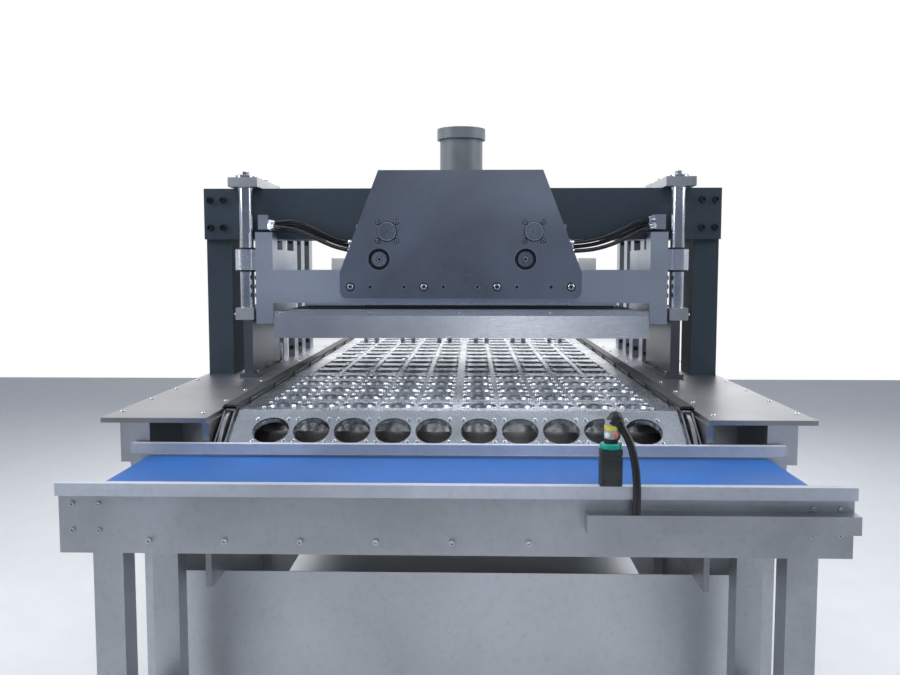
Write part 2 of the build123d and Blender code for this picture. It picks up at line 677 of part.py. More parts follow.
def save_press_stand():
    stand_x = (STAND_INNER, STAND_INNER + STAND_T)
    stands = sides(stand_x, (PRESS_FRONT, PRESS_REAR), (STAND_FOOT, STAND_TOP))
    foot_x = (STAND_INNER - STAND_FOOT, STAND_INNER + STAND_T + STAND_FOOT)
    feet = sides(foot_x, (PRESS_FRONT, PRESS_REAR), (0, STAND_FOOT))
    save("press_stands", stands[0] + feet[0], stands[1] + feet[1])
    mounts = []
    pillars = []
    seat = STAND_TOP + BLOCK_HEIGHT / 4
    margin = PILLAR_R + 15
    for x in (-PILLAR_X, PILLAR_X):
        bracket = block(
            (x - 2 * PILLAR_R, x + 2 * PILLAR_R),
            (PILLAR_Y[0] - margin, PILLAR_Y[1] + margin),
            (GANTRY_TOP, PILLAR_TOP),
        )
        for y in PILLAR_Y:
            pillar = rod(x, y, seat, PILLAR_R, PILLAR_TOP - seat)
            base = block((x - 25, x + 25), (y - margin, y + margin), (STAND_TOP, BLOCK_TOP))
            mounts.append(base - pillar)
            bracket -= pillar
            pillars.append(pillar)
        mounts.append(bracket)
    save("pillar_mounts", *mounts)
    save("guide_pillars", *pillars)
    beam = block(
        (-GANTRY_HALF, GANTRY_HALF), (GANTRY_FRONT, GANTRY_REAR), (GANTRY_BOTTOM, GANTRY_TOP)
    )
    beam -= rod(0, GANTRY_MIDDLE, GANTRY_BOTTOM, CYLINDER_R + 1, GANTRY_HEIGHT)
    save("gantry_beam", beam)
    inset = STAND_T - TABLE_GAP
    legs = sides(
        (GANTRY_INNER, GANTRY_HALF), (GANTRY_FRONT + inset, GANTRY_REAR - inset), (0, GANTRY_BOTTOM)
    )
    save("gantry_posts", *legs)
    low = GANTRY_BOTTOM - TABLE_GAP
    top = GANTRY_TOP + CYLINDER_RISE
    barrel = rod(0, GANTRY_MIDDLE, low, CYLINDER_R, top - low)
    barrel += rod(0, GANTRY_MIDDLE, GANTRY_TOP, CYLINDER_R + 35, 20)
    barrel += rod(0, GANTRY_MIDDLE, top - 30, CYLINDER_R + 8, 30)
    barrel -= rod(0, GANTRY_MIDDLE, low, ROD_R + FIT, top - low - 30)
    save("lift_cylinder", barrel)


def front_plate_outline():
    shoulder = FRONT_BOTTOM + FRONT_SIDE
    narrow = FRONT_HALF - FRONT_NARROWING
    points = [
        (-FRONT_HALF, FRONT_BOTTOM),
        (FRONT_HALF, FRONT_BOTTOM),
        (FRONT_HALF, shoulder),
        (narrow, FRONT_TOP),
        (-narrow, FRONT_TOP),
        (-FRONT_HALF, shoulder),
    ]
    face = make_face(Polyline(*points, close=True))
    low = face.vertices().group_by(Axis.Y)[0]
    return fillet(low, FRONT_CORNER)


def save_head_frame():
    bars = []
    for y in (PRESS_FRONT, HEAD_REAR - CROSSBAR_DEPTH):
        depth = (y, y + CROSSBAR_DEPTH)
        height = (CROSSBAR_BOTTOM, CROSSBAR_TOP)
        bars.append(block((-CROSSBAR_HALF, CROSSBAR_HALF), depth, height))
    save("head_crossbars", *bars)
    end_x = (CROSSBAR_HALF, END_PLATE_OUT)
    ends = sides(end_x, (PRESS_FRONT, HEAD_REAR), (END_PLATE_BOTTOM, END_PLATE_TOP))
    gap = sides(end_x, (PRESS_FRONT + CROSS_WIDTH, HEAD_REAR), (BUSH_TOP, END_PLATE_TOP))
    save("head_end_plates", ends[0] - gap[0], ends[1] - gap[1])
    bushes = []
    for y in PILLAR_Y:
        arm = block((END_PLATE_OUT, PILLAR_X), (y - 25, y + 25), (BUSH_BOTTOM, BUSH_TOP))
        arm += rod(PILLAR_X, y, BUSH_BOTTOM, BUSH_R, BUSH_LENGTH)
        arm -= rod(PILLAR_X, y, BUSH_BOTTOM, PILLAR_R + FIT, BUSH_LENGTH)
        bushes += [arm, mirrored(arm)]
    save("pillar_bushings", *bushes)


def save_front_plate():
    plate = extrude(Plane.XZ * front_plate_outline(), amount=FRONT_T)
    plate = Pos(0, PRESS_FRONT, 0) * plate
    face_y = PRESS_FRONT - FRONT_T
    recess_z = FRONT_BOTTOM + RECESS_RISE
    hubs = []
    for x in RECESS_X:
        plate -= rod(x, face_y, recess_z, RECESS_R, RECESS_DEPTH, "Y")
        disc = rod(x, face_y + 4, recess_z, HUB_DISC_R, RECESS_DEPTH - 4, "Y")
        hubs.append(disc - rod(x, face_y, recess_z, HUB_HOLE_R, RECESS_DEPTH - 4, "Y"))
    save("head_front_plate", plate)
    cap_z = FRONT_BOTTOM + CAP_RISE
    caps = [rod(x, face_y - CAP_T, cap_z, CAP_R, CAP_T, "Y") for x in (-CAP_X, CAP_X)]
    save("front_plate_caps", *hubs, *caps)


def save_tooling():
    front = PRESS_FRONT + CROSSBAR_DEPTH
    rear = HEAD_REAR - CROSSBAR_DEPTH
    deck_z = (CROSSBAR_TOP - 44.5, CROSSBAR_TOP - 19.5)
    deck = block((-CROSSBAR_HALF, CROSSBAR_HALF), (front, rear), deck_z)
    plate_half = SLAT_HALF - 43
    tool = block(
        (-plate_half, plate_half), (PRESS_FRONT + 8, HEAD_REAR), (INSULATION_TOP, CROSSBAR_BOTTOM)
    )
    save("head_plates", deck, tool)
    board_half = plate_half - 8
    board = block(
        (-board_half, board_half), (PRESS_FRONT + 12, HEAD_REAR), (HEATER_TOP, INSULATION_TOP)
    )
    save("insulation_plate", board)
    heater_front = PRESS_FRONT + 14
    heater_half = CROSSBAR_HALF - CROSSBAR_DEPTH
    heater = block(
        (-heater_half, heater_half), (heater_front, HEAD_REAR), (HEATER_BOTTOM, HEATER_TOP)
    )
    save("heater_plate", heater)
    heads = [rod(x, y, HEAD_BOTTOM, HEAD_R, HEAD_LENGTH) for x in LANE_X for y in HEAD_ROWS]
    save("sealing_heads", *heads)
    strip = GUARD_TOP - GUARD_STRIP
    edge = (PRESS_FRONT - GUARD_LEAN, strip - GUARD_FACE)
    outside = [(PRESS_FRONT, GUARD_TOP), (PRESS_FRONT, strip), edge]
    inside = [(y + GUARD_T, z) for y, z in reversed(outside)]
    guard_half = CROSSBAR_HALF - 2
    guard = profile_x(outside + inside, -guard_half, guard_half)
    backing = (PRESS_FRONT + GUARD_T, heater_front)
    guard += block((8 - guard_half, guard_half - 8), backing, (strip, GUARD_TOP))
    save("lower_guard", guard)
    lift = rod(0, GANTRY_MIDDLE, deck_z[1], ROD_R, GANTRY_TOP - deck_z[1])
    lift += rod(0, GANTRY_MIDDLE, deck_z[1], 2 * ROD_R, ROD_R)
    save("lift_rod", lift)


def save_hoses():
    """Blocks on the beam's front that hold both ends of the hoses, and the hoses."""
    blocks = []
    half = HOSE_BLOCK / 2
    rear = GANTRY_FRONT - 8
    low = MANIFOLD_Z - 20
    for side in (-1, 1):
        x = side * GLAND_X
        depth = (GANTRY_FRONT - HOSE_BLOCK, GANTRY_FRONT)
        gland = block((x - half, x + half), depth, (GLAND_Z - 18, GLAND_Z + 22))
        x = side * MANIFOLD_X
        plate = block((x - half, x + half), (rear, GANTRY_FRONT), (low, GANTRY_BOTTOM + 40))
        plate += block((x - half, x + half), (rear - 36, rear), (low, MANIFOLD_Z + 24))
        blocks += [gland, plate]
    save("hose_blocks", *blocks)
    first = MANIFOLD_X + half
    span = GLAND_X - half - first
    for name, route in HOSES.items():
        side = 1 if "right" in name else -1
        points = [
            (side * (first + span * part), GANTRY_FRONT + y, GANTRY_BOTTOM + z)
            for part, y, z in route
        ]
        save(name, tube(points, HOSE_R))


def save_following_stations():
    columns = []
    for y in COLUMN_Y:
        span = (y, y + COLUMN_DEPTH)
        columns += sides((COLUMN_X, COLUMN_X + COLUMN_T), span, (0, COLUMN_HEIGHT))
    save("station_columns", *columns)
    bars = []
    over = COLUMN_X + COLUMN_T + 7
    for front, rear in (COLUMN_Y[:2], COLUMN_Y[2:]):
        height = (COLUMN_HEIGHT, COLUMN_HEIGHT + STATION_PLATE)
        bars.append(block((-over, over), (front, rear + COLUMN_DEPTH), height))
    save("station_top_plates", *bars)
    y = COLUMN_Y[1] + COLUMN_DEPTH / 2
    body_z = PIN_BOTTOM + PIN_LENGTH
    beam_z = body_z + PIN_BODY
    row = block((-COLUMN_X, COLUMN_X), (y - 20, y + 20), (beam_z, beam_z + PIN_BEAM))
    for i in range(PIN_GROUPS):
        x = PIN_PITCH * (i - (PIN_GROUPS - 1) / 2)
        row += block((x - 30, x + 30), (y - 15, y + 15), (body_z, beam_z))
        for side in (-1, 1):
            row += rod(x + side * 18, y, PIN_BOTTOM, 8, PIN_LENGTH)
    save("pin_row", row)
    y = COLUMN_Y[2] + COLUMN_DEPTH / 2
    high = DOSING_BEAM + DOSING_BEAM_T
    top = high + DOSING_RISE
    beam = block((-COLUMN_X, COLUMN_X), (y - 25, y + 25), (DOSING_BEAM, high))
    for x in LANE_X:
        beam += rod(x, y, DOSING_BOTTOM, DOSING_R, top - DOSING_BOTTOM)
        beam += rod(x, y, DOSING_BOTTOM - 20, DOSING_R / 2, 20)
        beam += rod(x, y, top, DOSING_R / 3, 30)
    save("dosing_row", beam)
    boxes = []
    for side in (-1, 1):
        x = side * (LANE_X[-1] + 43)
        boxes.append(
            block((x - 30, x + 30), (y - 55, y - 25), (high - 30, high + 58))
        )
    save("valve_boxes", *boxes)
    x, y = -STAND_INNER - 6, COLUMN_Y[0] - 50
    save("stop_post", rod(x, y, 8, 9, 58) + rod(x, y, 0, 20, 8))


def main():
    os.makedirs("parts", exist_ok=True)
    places = link_places()
    save_slats(places)
    save_chains(places)
    save_wheels()
    save_legs()
    save_long_members()
    save_guides()
    save_cross_members()
    save_panels()
    save_tray()
    save_outfeed()
    save_sensor()
    save_press_stand()
    save_head_frame()
    save_front_plate()
    save_tooling()
    save_hoses()
    save_following_stations()


main()
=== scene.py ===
"""Cup filling and sealing machine: finishes, fasteners, hoses, light and camera."""

import math

import bmesh
import bpy
from mathutils import Matrix, Vector


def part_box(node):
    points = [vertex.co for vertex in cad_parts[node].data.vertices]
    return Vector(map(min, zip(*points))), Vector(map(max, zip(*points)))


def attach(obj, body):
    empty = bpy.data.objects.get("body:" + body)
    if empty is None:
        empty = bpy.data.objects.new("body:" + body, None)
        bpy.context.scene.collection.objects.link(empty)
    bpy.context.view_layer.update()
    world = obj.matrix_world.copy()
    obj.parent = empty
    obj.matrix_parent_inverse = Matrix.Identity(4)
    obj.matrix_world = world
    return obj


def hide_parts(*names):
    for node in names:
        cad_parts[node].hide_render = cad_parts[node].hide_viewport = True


bl_info = {
    "name": "Cup filling and sealing machine",
    "version": (1, 0, 0),
    "blender": (4, 5, 0),
    "location": "View3D > Sidebar > Sealing machine",
    "description": "Dresses the machine's solids with finishes, fasteners and hoses",
    "category": "Object",
}

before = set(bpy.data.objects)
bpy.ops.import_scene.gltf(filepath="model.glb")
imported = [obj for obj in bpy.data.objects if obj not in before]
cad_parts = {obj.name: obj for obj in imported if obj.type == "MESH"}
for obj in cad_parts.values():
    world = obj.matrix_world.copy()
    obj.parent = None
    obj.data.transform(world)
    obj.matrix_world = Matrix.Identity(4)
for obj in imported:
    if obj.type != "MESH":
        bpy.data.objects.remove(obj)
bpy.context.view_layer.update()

# The slat conveyor, in metres, as in the frame.
PITCH = 0.125
TOP_SLATS = 15
TEETH = 6
SLAT_RISE = 0.003
VERTEX_LEAD = math.radians(3)
LANE_PITCH = 0.085
CENTRE_EXTRA = 0.009
LANES_A_SIDE = 5
FRAME_OVER = 0.118
SLAT_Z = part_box("table_plates")[1][2]
WHEEL_R = PITCH / 2 / math.sin(math.pi / TEETH)
AXLE_Z = SLAT_Z - SLAT_RISE - WHEEL_R * math.cos(VERTEX_LEAD)
FRONT_AXLE_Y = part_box("table_plates")[0][1] + FRAME_OVER
FOLD_Y = FRONT_AXLE_Y - WHEEL_R * math.sin(VERTEX_LEAD)
REAR_AXLE_Y = FRONT_AXLE_Y + PITCH * TOP_SLATS
LANE_X = [
    side * (LANE_PITCH * (lane + 0.5) + CENTRE_EXTRA / 2)
    for side in (-1, 1)
    for lane in range(LANES_A_SIDE)
]


class SceneSizes(bpy.types.PropertyGroup):
    """Where the camera stands and how large the fasteners are."""

    camera_x: bpy.props.FloatProperty(
        name="Camera across", description="To the right of the centreline",
        default=0.0333, unit="LENGTH",
    )
    camera_back: bpy.props.FloatProperty(
        name="Camera distance", description="In front of the fold in the slats",
        default=1.8656, unit="LENGTH",
    )
    camera_height: bpy.props.FloatProperty(
        name="Camera height", description="Above the top of the slats",
        default=0.3064, unit="LENGTH",
    )
    camera_pitch: bpy.props.FloatProperty(
        name="Camera dip", description="Turned down from level",
        default=math.radians(4.63), subtype="ANGLE",
    )
    camera_yaw: bpy.props.FloatProperty(
        name="Camera turn", description="Turned to the left of the line",
        default=math.radians(1.473), subtype="ANGLE",
    )
    focal_pixels: bpy.props.FloatProperty(
        name="Focal length in pixels", description="For an image 900 pixels wide",
        default=885.0,
    )
    lamp_strength: bpy.props.FloatProperty(
        name="Lamp strength", description="Scales every lamp", default=1.0, min=0.0,
    )


class SceneColours(bpy.types.PropertyGroup):
    """The finishes' main colours."""

    slat: bpy.props.FloatVectorProperty(
        name="Slats", description="Brushed stainless of the slats", subtype="COLOR",
        default=(0.50, 0.53, 0.57),
    )
    belt: bpy.props.FloatVectorProperty(
        name="Belt", description="Blue outfeed belt", subtype="COLOR",
        default=(0.007, 0.115, 0.42),
    )
    head: bpy.props.FloatVectorProperty(
        name="Press head", description="Milled aluminium of the press head", subtype="COLOR",
        default=(0.52, 0.57, 0.65),
    )
    front: bpy.props.FloatVectorProperty(
        name="Front plate", description="Darker milled plate of the head", subtype="COLOR",
        default=(0.30, 0.335, 0.40),
    )


def sizes():
    return bpy.context.scene.filler_sizes


def colours():
    return bpy.context.scene.filler_colours


def spot(x, y, z):
    """A point from millimetres across, behind the fold in the slats, and above them."""
    return Vector((x / 1000, FOLD_Y + y / 1000, SLAT_Z + z / 1000))


def new_material(name):
    material = bpy.data.materials.new(name)
    material.use_nodes = True
    return material, material.node_tree.nodes, material.node_tree.links


def texture(nodes, links, kind, coords, scale, **inputs):
    node = nodes.new(kind)
    node.inputs["Scale"].default_value = scale
    for key, value in inputs.items():
        node.inputs[key.replace("_", " ")].default_value = value
    links.new(coords, node.inputs["Vector"])
    return node


def ramp(nodes, links, source, low, high, dark, light):
    """Maps a texture between two thresholds onto two colours."""
    node = nodes.new("ShaderNodeValToRGB")
    first, last = node.color_ramp.elements
    first.position, last.position = low, high
    first.color, last.color = (*dark, 1), (*light, 1)
    links.new(source, node.inputs["Fac"])
    return node


def shade(colour, factor):
    return tuple(min(1.0, c * factor) for c in colour)


def steel(name, colour, rough=0.32, grain=(2, 60, 60), cloud=2.5, depth=0.10, metallic=1.0,
          marks=0.45):
    """Brushed or rolled metal: fine grain along one way, soft smears, scuffs and dull spots."""
    material, nodes, links = new_material(name)
    shader = nodes["Principled BSDF"]
    shader.inputs["Metallic"].default_value = metallic
    place = nodes.new("ShaderNodeTexCoord").outputs["Object"]
    turn = nodes.new("ShaderNodeMapping")
    turn.inputs["Scale"].default_value = grain
    links.new(place, turn.inputs["Vector"])
    fine = texture(nodes, links, "ShaderNodeTexNoise", turn.outputs[0], 9.0, Detail=5.0)
    smear = texture(nodes, links, "ShaderNodeTexNoise", place, cloud, Detail=4.0, Distortion=0.6)
    scuff = texture(nodes, links, "ShaderNodeTexNoise", place, 70.0, Detail=8.0, Roughness=0.75)
    base = ramp(
        nodes, links, smear.outputs["Fac"], 0.35, 0.66, shade(colour, 0.80), shade(colour, 1.12)
    )
    dull = ramp(nodes, links, scuff.outputs["Fac"], 0.50, 0.78, (1, 1, 1), (0.62, 0.60, 0.57))
    mix = nodes.new("ShaderNodeMix")
    mix.data_type = "RGBA"
    mix.blend_type = "MULTIPLY"
    mix.inputs["Factor"].default_value = marks
    links.new(base.outputs[0], mix.inputs["A"])
    links.new(dull.outputs[0], mix.inputs["B"])
    links.new(mix.outputs["Result"], shader.inputs["Base Color"])
    span = nodes.new("ShaderNodeMapRange")
    span.inputs["To Min"].default_value = max(0.05, rough - 0.10)
    span.inputs["To Max"].default_value = rough + 0.14
    blend = nodes.new("ShaderNodeMath")
    blend.operation = "MULTIPLY_ADD"
    blend.inputs[1].default_value = 0.5
    links.new(fine.outputs["Fac"], blend.inputs[0])
    half = nodes.new("ShaderNodeMath")
    half.operation = "MULTIPLY"
    half.inputs[1].default_value = 0.5
    links.new(smear.outputs["Fac"], half.inputs[0])
    links.new(half.outputs[0], blend.inputs[2])
    links.new(blend.outputs[0], span.inputs["Value"])
    links.new(span.outputs[0], shader.inputs["Roughness"])
    bump = nodes.new("ShaderNodeBump")
    bump.inputs["Strength"].default_value = depth
    bump.inputs["Distance"].default_value = 0.001
    links.new(fine.outputs["Fac"], bump.inputs["Height"])
    links.new(bump.outputs[0], shader.inputs["Normal"])
    return material


def plain_coat(name, colour, rough=0.45, grain=220.0, depth=0.15, spread=0.25):
    """Paint, plastic or rubber: a fine orange-peel grain, uneven gloss and slight fading."""
    material, nodes, links = new_material(name)
    shader = nodes["Principled BSDF"]
    place = nodes.new("ShaderNodeTexCoord").outputs["Object"]
    cloud = texture(nodes, links, "ShaderNodeTexNoise", place, 6.0, Detail=4.0)
    peel = texture(nodes, links, "ShaderNodeTexNoise", place, grain, Detail=3.0)
    base = ramp(
        nodes, links, cloud.outputs["Fac"], 0.3, 0.7,
        shade(colour, 1 - spread), shade(colour, 1 + spread),
    )
    links.new(base.outputs[0], shader.inputs["Base Color"])
    span = nodes.new("ShaderNodeMapRange")
    span.inputs["To Min"].default_value = max(0.05, rough - 0.1)
    span.inputs["To Max"].default_value = rough + 0.1
    links.new(cloud.outputs["Fac"], span.inputs["Value"])
    links.new(span.outputs[0], shader.inputs["Roughness"])
    bump = nodes.new("ShaderNodeBump")
    bump.inputs["Strength"].default_value = depth
    bump.inputs["Distance"].default_value = 0.0004
    links.new(peel.outputs["Fac"], bump.inputs["Height"])
    links.new(bump.outputs[0], shader.inputs["Normal"])
    return material


def woven(name, colour, pitch=0.0022):
    """Belt fabric: two crossing sets of threads under a satin coat, scuffed along the run."""
    material = plain_coat(name, colour, 0.50, 900.0, 0.2, 0.16)
    nodes, links = material.node_tree.nodes, material.node_tree.links
    shader = nodes["Principled BSDF"]
    place = nodes.new("ShaderNodeTexCoord").outputs["Object"]
    waves = []
    for way in ("X", "Y"):
        wave = nodes.new("ShaderNodeTexWave")
        wave.bands_direction = way
        wave.inputs["Scale"].default_value = 1 / pitch / math.tau
        wave.inputs["Distortion"].default_value = 0.4
        links.new(place, wave.inputs["Vector"])
        waves.append(wave)
    threads = nodes.new("ShaderNodeMath")
    threads.operation = "MULTIPLY"
    links.new(waves[0].outputs["Fac"], threads.inputs[0])
    links.new(waves[1].outputs["Fac"], threads.inputs[1])
    bump = nodes.new("ShaderNodeBump")
    bump.inputs["Strength"].default_value = 0.5
    bump.inputs["Distance"].default_value = 0.0005
    links.new(threads.outputs[0], bump.inputs["Height"])
    links.new(bump.outputs[0], shader.inputs["Normal"])
    return material


FINISHES = {}
HOSE_ROWS = ("upper", "middle", "lower")


def make_finishes():
    FINISHES.update(
        slat=steel("slat_stainless", tuple(colours().slat), 0.25, (60, 3, 60), 7.0, 0.04, 1.0, 0.2),
        table=steel("table_stainless", (0.40, 0.41, 0.43), 0.36, (30, 30, 30), 3.0),
        frame=steel("frame_stainless", (0.48, 0.50, 0.53), 0.40, (40, 40, 3)),
        panel=steel("panel_stainless", (0.52, 0.54, 0.57), 0.33, (60, 60, 2), 1.2, 0.05),
        bright=steel("bright_stainless", (0.72, 0.75, 0.80), 0.22, (3, 60, 60), 2.2, 0.04),
        screw=steel("screw_steel", (0.66, 0.68, 0.72), 0.22, (60, 60, 60), 30.0, 0.02),
        # also painted shade: this black finish colours the shade rings, socket discs and recess rings of
        # the press head
        black_screw=steel("black_screw", (0.06, 0.065, 0.07), 0.35, (60, 60, 60), 30.0, 0.02),
        tray=steel("tray_stainless", (0.34, 0.33, 0.33), 0.20, (3, 50, 50), 4.0, 0.04),
        chain=steel("chain_steel", (0.30, 0.31, 0.33), 0.35, (40, 40, 40), 12.0),
        cast=plain_coat("cast_grey", (0.16, 0.18, 0.20), 0.45),
        guide=plain_coat("dark_guide", (0.022, 0.025, 0.030), 0.58),
        belt=woven("blue_belt", tuple(colours().belt)),
        # painted shade: the gantry beam and posts get a near-black slate colour that stands in for the
        # shade they stand in
        beam=steel("dark_beam", (0.055, 0.075, 0.095), 0.45, (30, 30, 30), 1.5, 0.05, 0.6),
        column=steel("column_steel", (0.34, 0.37, 0.42), 0.28, (40, 40, 3), 2.0, 0.05),
        stand=steel("stand_steel", (0.17, 0.18, 0.20), 0.34, (50, 50, 3), 3.0, 0.06),
        head=steel("head_aluminium", tuple(colours().head), 0.34, (4, 40, 40), 1.6, 0.04, 1.0, 0.25),
        front=steel("front_plate_milled", tuple(colours().front), 0.28, (4, 40, 40), 2.4, 0.04, 1.0, 0.2),
        cap=steel("cap_steel", (0.34, 0.38, 0.45), 0.25, (40, 40, 40), 8.0, 0.03),
        rail=steel("guide_rail", (0.60, 0.64, 0.72), 0.52, (2, 50, 50), 3.0, 0.05, 0.25),
        pale_case=plain_coat("pale_moulding", (0.36, 0.40, 0.38), 0.30, 300.0, 0.05, 0.12),
        black=plain_coat("black_insulation", (0.01, 0.01, 0.012), 0.6),
        rubber=plain_coat("soft_black", (0.012, 0.012, 0.014), 0.42, 500.0, 0.1),
        hose=plain_coat("hose_black", (0.010, 0.011, 0.014), 0.22, 90.0, 0.05),
        grey_case=plain_coat("sensor_grey", (0.028, 0.034, 0.036), 0.40),
        white_case=plain_coat("white_plastic", (0.78, 0.80, 0.83), 0.30, 300.0, 0.05, 0.04),
        green=plain_coat("signal_green", (0.0, 0.34, 0.25), 0.35, 300.0, 0.05, 0.1),
        red=plain_coat("signal_red", (0.72, 0.13, 0.08), 0.30, 300.0, 0.05, 0.1),
        yellow=plain_coat("sleeve_yellow", (0.72, 0.62, 0.08), 0.45, 300.0, 0.05, 0.1),
        chrome=steel("chrome_rod", (0.75, 0.77, 0.80), 0.12, (30, 30, 30), 8.0, 0.02),
    )


NODE_FINISH = {
    "slat": ("slats_near", "slats_top", "slats_return", "slats_front_turn"),
    "chain": ("slat_chains", "chain_wheels", "wheel_shafts"),
    "cast": ("bearings", "lift_cylinder"),
    "frame": (
        "legs", "levelling_feet", "long_beams", "cross_members", "outfeed_channels",
        "outfeed_bed_and_rolls", "outfeed_stand", "pillar_mounts",
    ),
    "table": ("table_plates", "side_frames"),
    "guide": ("chain_guides", "chain_tracks"),
    "panel": ("closing_panels",),
    "tray": ("inner_tray",),
    "bright": (
        "pillar_bushings", "sealing_heads", "lower_guard", "pin_row", "dosing_row",
        "hose_blocks",
    ),
    "belt": ("outfeed_belt",),
    "chrome": ("guide_pillars", "lift_rod", "stop_post"),
    "beam": ("gantry_beam", "gantry_posts"),
    "column": ("station_columns", "station_top_plates"),
    "head": (
        "head_crossbars", "head_end_plates", "head_plates", "heater_plate",
    ),
    "front": ("head_front_plate",),
    "cap": ("front_plate_caps",),
    "stand": ("press_stands",),
    "rail": ("outfeed_guides",),
    "black": ("insulation_plate",),
    "grey_case": ("sensor",),
    "rubber": ("sensor_plug", "sensor_cable"),
    "white_case": ("valve_boxes",),
    "hose": tuple(f"hose_{side}_{row}" for side in ("left", "right") for row in HOSE_ROWS),
}


class FILLER_OT_finishes(bpy.types.Operator):
    """Gives every solid its finish"""

    bl_idname = "filler.finishes"
    bl_label = "Finishes"

    def execute(self, context):
        make_finishes()
        for finish, names in NODE_FINISH.items():
            for name in names:
                solid = bpy.data.objects[name]
                for slot in solid.material_slots:
                    slot.material = FINISHES[finish]
        return {"FINISHED"}


def link_turns():
    """Each slat's middle and its turn about X, front wheel first, then under, rear and top."""
    def pivot(axle_y, angle):
        return Vector((0, axle_y - WHEEL_R * math.sin(angle), AXLE_Z + WHEEL_R * math.cos(angle)))

    step = 2 * math.pi / TEETH
    half = TEETH // 2
    front = [pivot(FRONT_AXLE_Y, VERTEX_LEAD + step * i) for i in range(half + 1)]
    rear = [pivot(REAR_AXLE_Y, VERTEX_LEAD + math.pi + step * i) for i in range(half + 1)]
    back = [front[-1] + Vector((0, PITCH * i, 0)) for i in range(1, TOP_SLATS)]
    top = [rear[-1] - Vector((0, PITCH * i, 0)) for i in range(1, TOP_SLATS)]
    pivots = front + back + rear + top
    places = []
    for start, end in zip(pivots, pivots[1:] + pivots[:1]):
        turn = math.atan2(start.z - end.z, start.y - end.y)
        places.append(Matrix.Translation((start + end) / 2) @ Matrix.Rotation(turn, 4, "X"))
    return places


def ring(bm, place, radius, height, steps):
    return [
        bm.verts.new(
            place @ Vector((
                radius * math.cos(2 * math.pi * i / steps),
                radius * math.sin(2 * math.pi * i / steps),
                height,
            ))
        )
        for i in range(steps)
    ]


def turned(bm, place, outline, steps=12):
    """A turned form from (radius, height) points, closed at both ends."""
    rows = [ring(bm, place, radius, height, steps) for radius, height in outline]
    for low, high in zip(rows, rows[1:]):
        for i in range(steps):
            j = (i + 1) % steps
            bm.faces.new((low[i], low[j], high[j], high[i]))
    bm.faces.new(list(reversed(rows[0])))
    bm.faces.new(rows[-1])


def piece_from(bm, name, finish, body, smooth=35):
    bmesh.ops.recalc_face_normals(bm, faces=bm.faces)
    mesh = bpy.data.meshes.new(name)
    bm.to_mesh(mesh)
    bm.free()
    mesh.materials.append(FINISHES[finish])
    piece = bpy.data.objects.new(name, mesh)
    bpy.context.scene.collection.objects.link(piece)
    mesh.shade_smooth()
    mesh.set_sharp_from_angle(angle=math.radians(smooth))
    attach(piece, body)
    return piece


def button_head(bm, place, radius, height, steps=12):
    """A domed screw head with its socket."""
    turned(bm, place, [
        (radius, -0.0002), (radius, height * 0.35), (radius * 0.8, height * 0.85),
        (radius * 0.55, height), (radius * 0.45, height), (radius * 0.42, height * 0.45),
    ], steps)


BOLT_X = 0.0325
BOLT_Y = 0.0335
BOLT_R = 0.0046
BOLT_H = 0.0028


class FILLER_OT_slat_bolts(bpy.types.Operator):
    """Four button-head screws round every cup hole"""

    bl_idname = "filler.slat_bolts"
    bl_label = "Slat screws"

    def execute(self, context):
        places = link_turns()
        half = TEETH // 2
        under = range(half, half + TOP_SLATS)
        for name, chosen, steps in (
            ("slat_screws", [p for i, p in enumerate(places) if i not in under], 12),
            ("slat_screws_return", [p for i, p in enumerate(places) if i in under], 8),
        ):
            bm = bmesh.new()
            for place in chosen:
                for x in LANE_X:
                    for sx in (-1, 1):
                        for sy in (-1, 1):
                            spot = Vector((x + sx * BOLT_X, sy * BOLT_Y, SLAT_RISE))
                            button_head(bm, place @ Matrix.Translation(spot), BOLT_R, BOLT_H, steps)
            piece_from(bm, name, "bright", "root")
        return {"FINISHED"}


HOSE_R = 0.0055
HOSES = {
    "hose_left_upper": (0.253, [
        (-530, 586, 424), (-480, 574, 431), (-430, 567, 421), (-382, 565, 398),
        (-336, 569, 377), (-290, 572, 369),
    ]),
    "hose_left_middle": (0.251, [
        (-530, 590, 411), (-480, 582, 417), (-430, 579, 408), (-382, 579, 386),
        (-336, 582, 366), (-290, 584, 357),
    ]),
    "hose_left_lower": (0.254, [
        (-530, 577, 415), (-480, 562, 411), (-430, 557, 397), (-382, 557, 374),
        (-336, 561, 354), (-290, 565, 346),
    ]),
    "hose_right_upper": (0.254, [
        (530, 586, 438), (484, 574, 427), (438, 567, 405), (390, 566, 384),
        (340, 569, 372), (290, 572, 369),
    ]),
    "hose_right_middle": (0.252, [
        (530, 590, 424), (484, 582, 413), (438, 579, 391), (390, 580, 371),
        (340, 583, 360), (290, 584, 357),
    ]),
    "hose_right_lower": (0.256, [
        (530, 577, 417), (484, 562, 400), (438, 557, 376), (390, 558, 357),
        (340, 561, 347), (290, 565, 346),
    ]),
}
CABLE_R = 0.0065
CABLE = [
    (271, -451, 50.8), (282.5, -454, 33), (290.5, -459, 10), (294.5, -465, -16),
    (296, -469.5, -43), (296.2, -470.5, -67), (295.5, -470, -90),
]


def add_cord(name, points, radius, finish, node, length, slot, **facts):
    """A round cord on one smooth line, in place of its plain solid."""
    curve = bpy.data.curves.new(name, "CURVE")
    curve.dimensions = "3D"
    curve.bevel_depth = radius
    curve.bevel_resolution = 6
    curve.resolution_u = 16
    curve.use_fill_caps = True
    line = curve.splines.new("NURBS")
    line.points.add(len(points) - 1)
    for control, point in zip(line.points, points):
        control.co = (*spot(*point), 1)
    line.order_u = 3
    line.use_endpoint_u = True
    curve.materials.append(FINISHES[finish])
    cord = bpy.data.objects.new(name, curve)
    bpy.context.scene.collection.objects.link(cord)
    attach(cord, "root")
    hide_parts(node)
    return cord


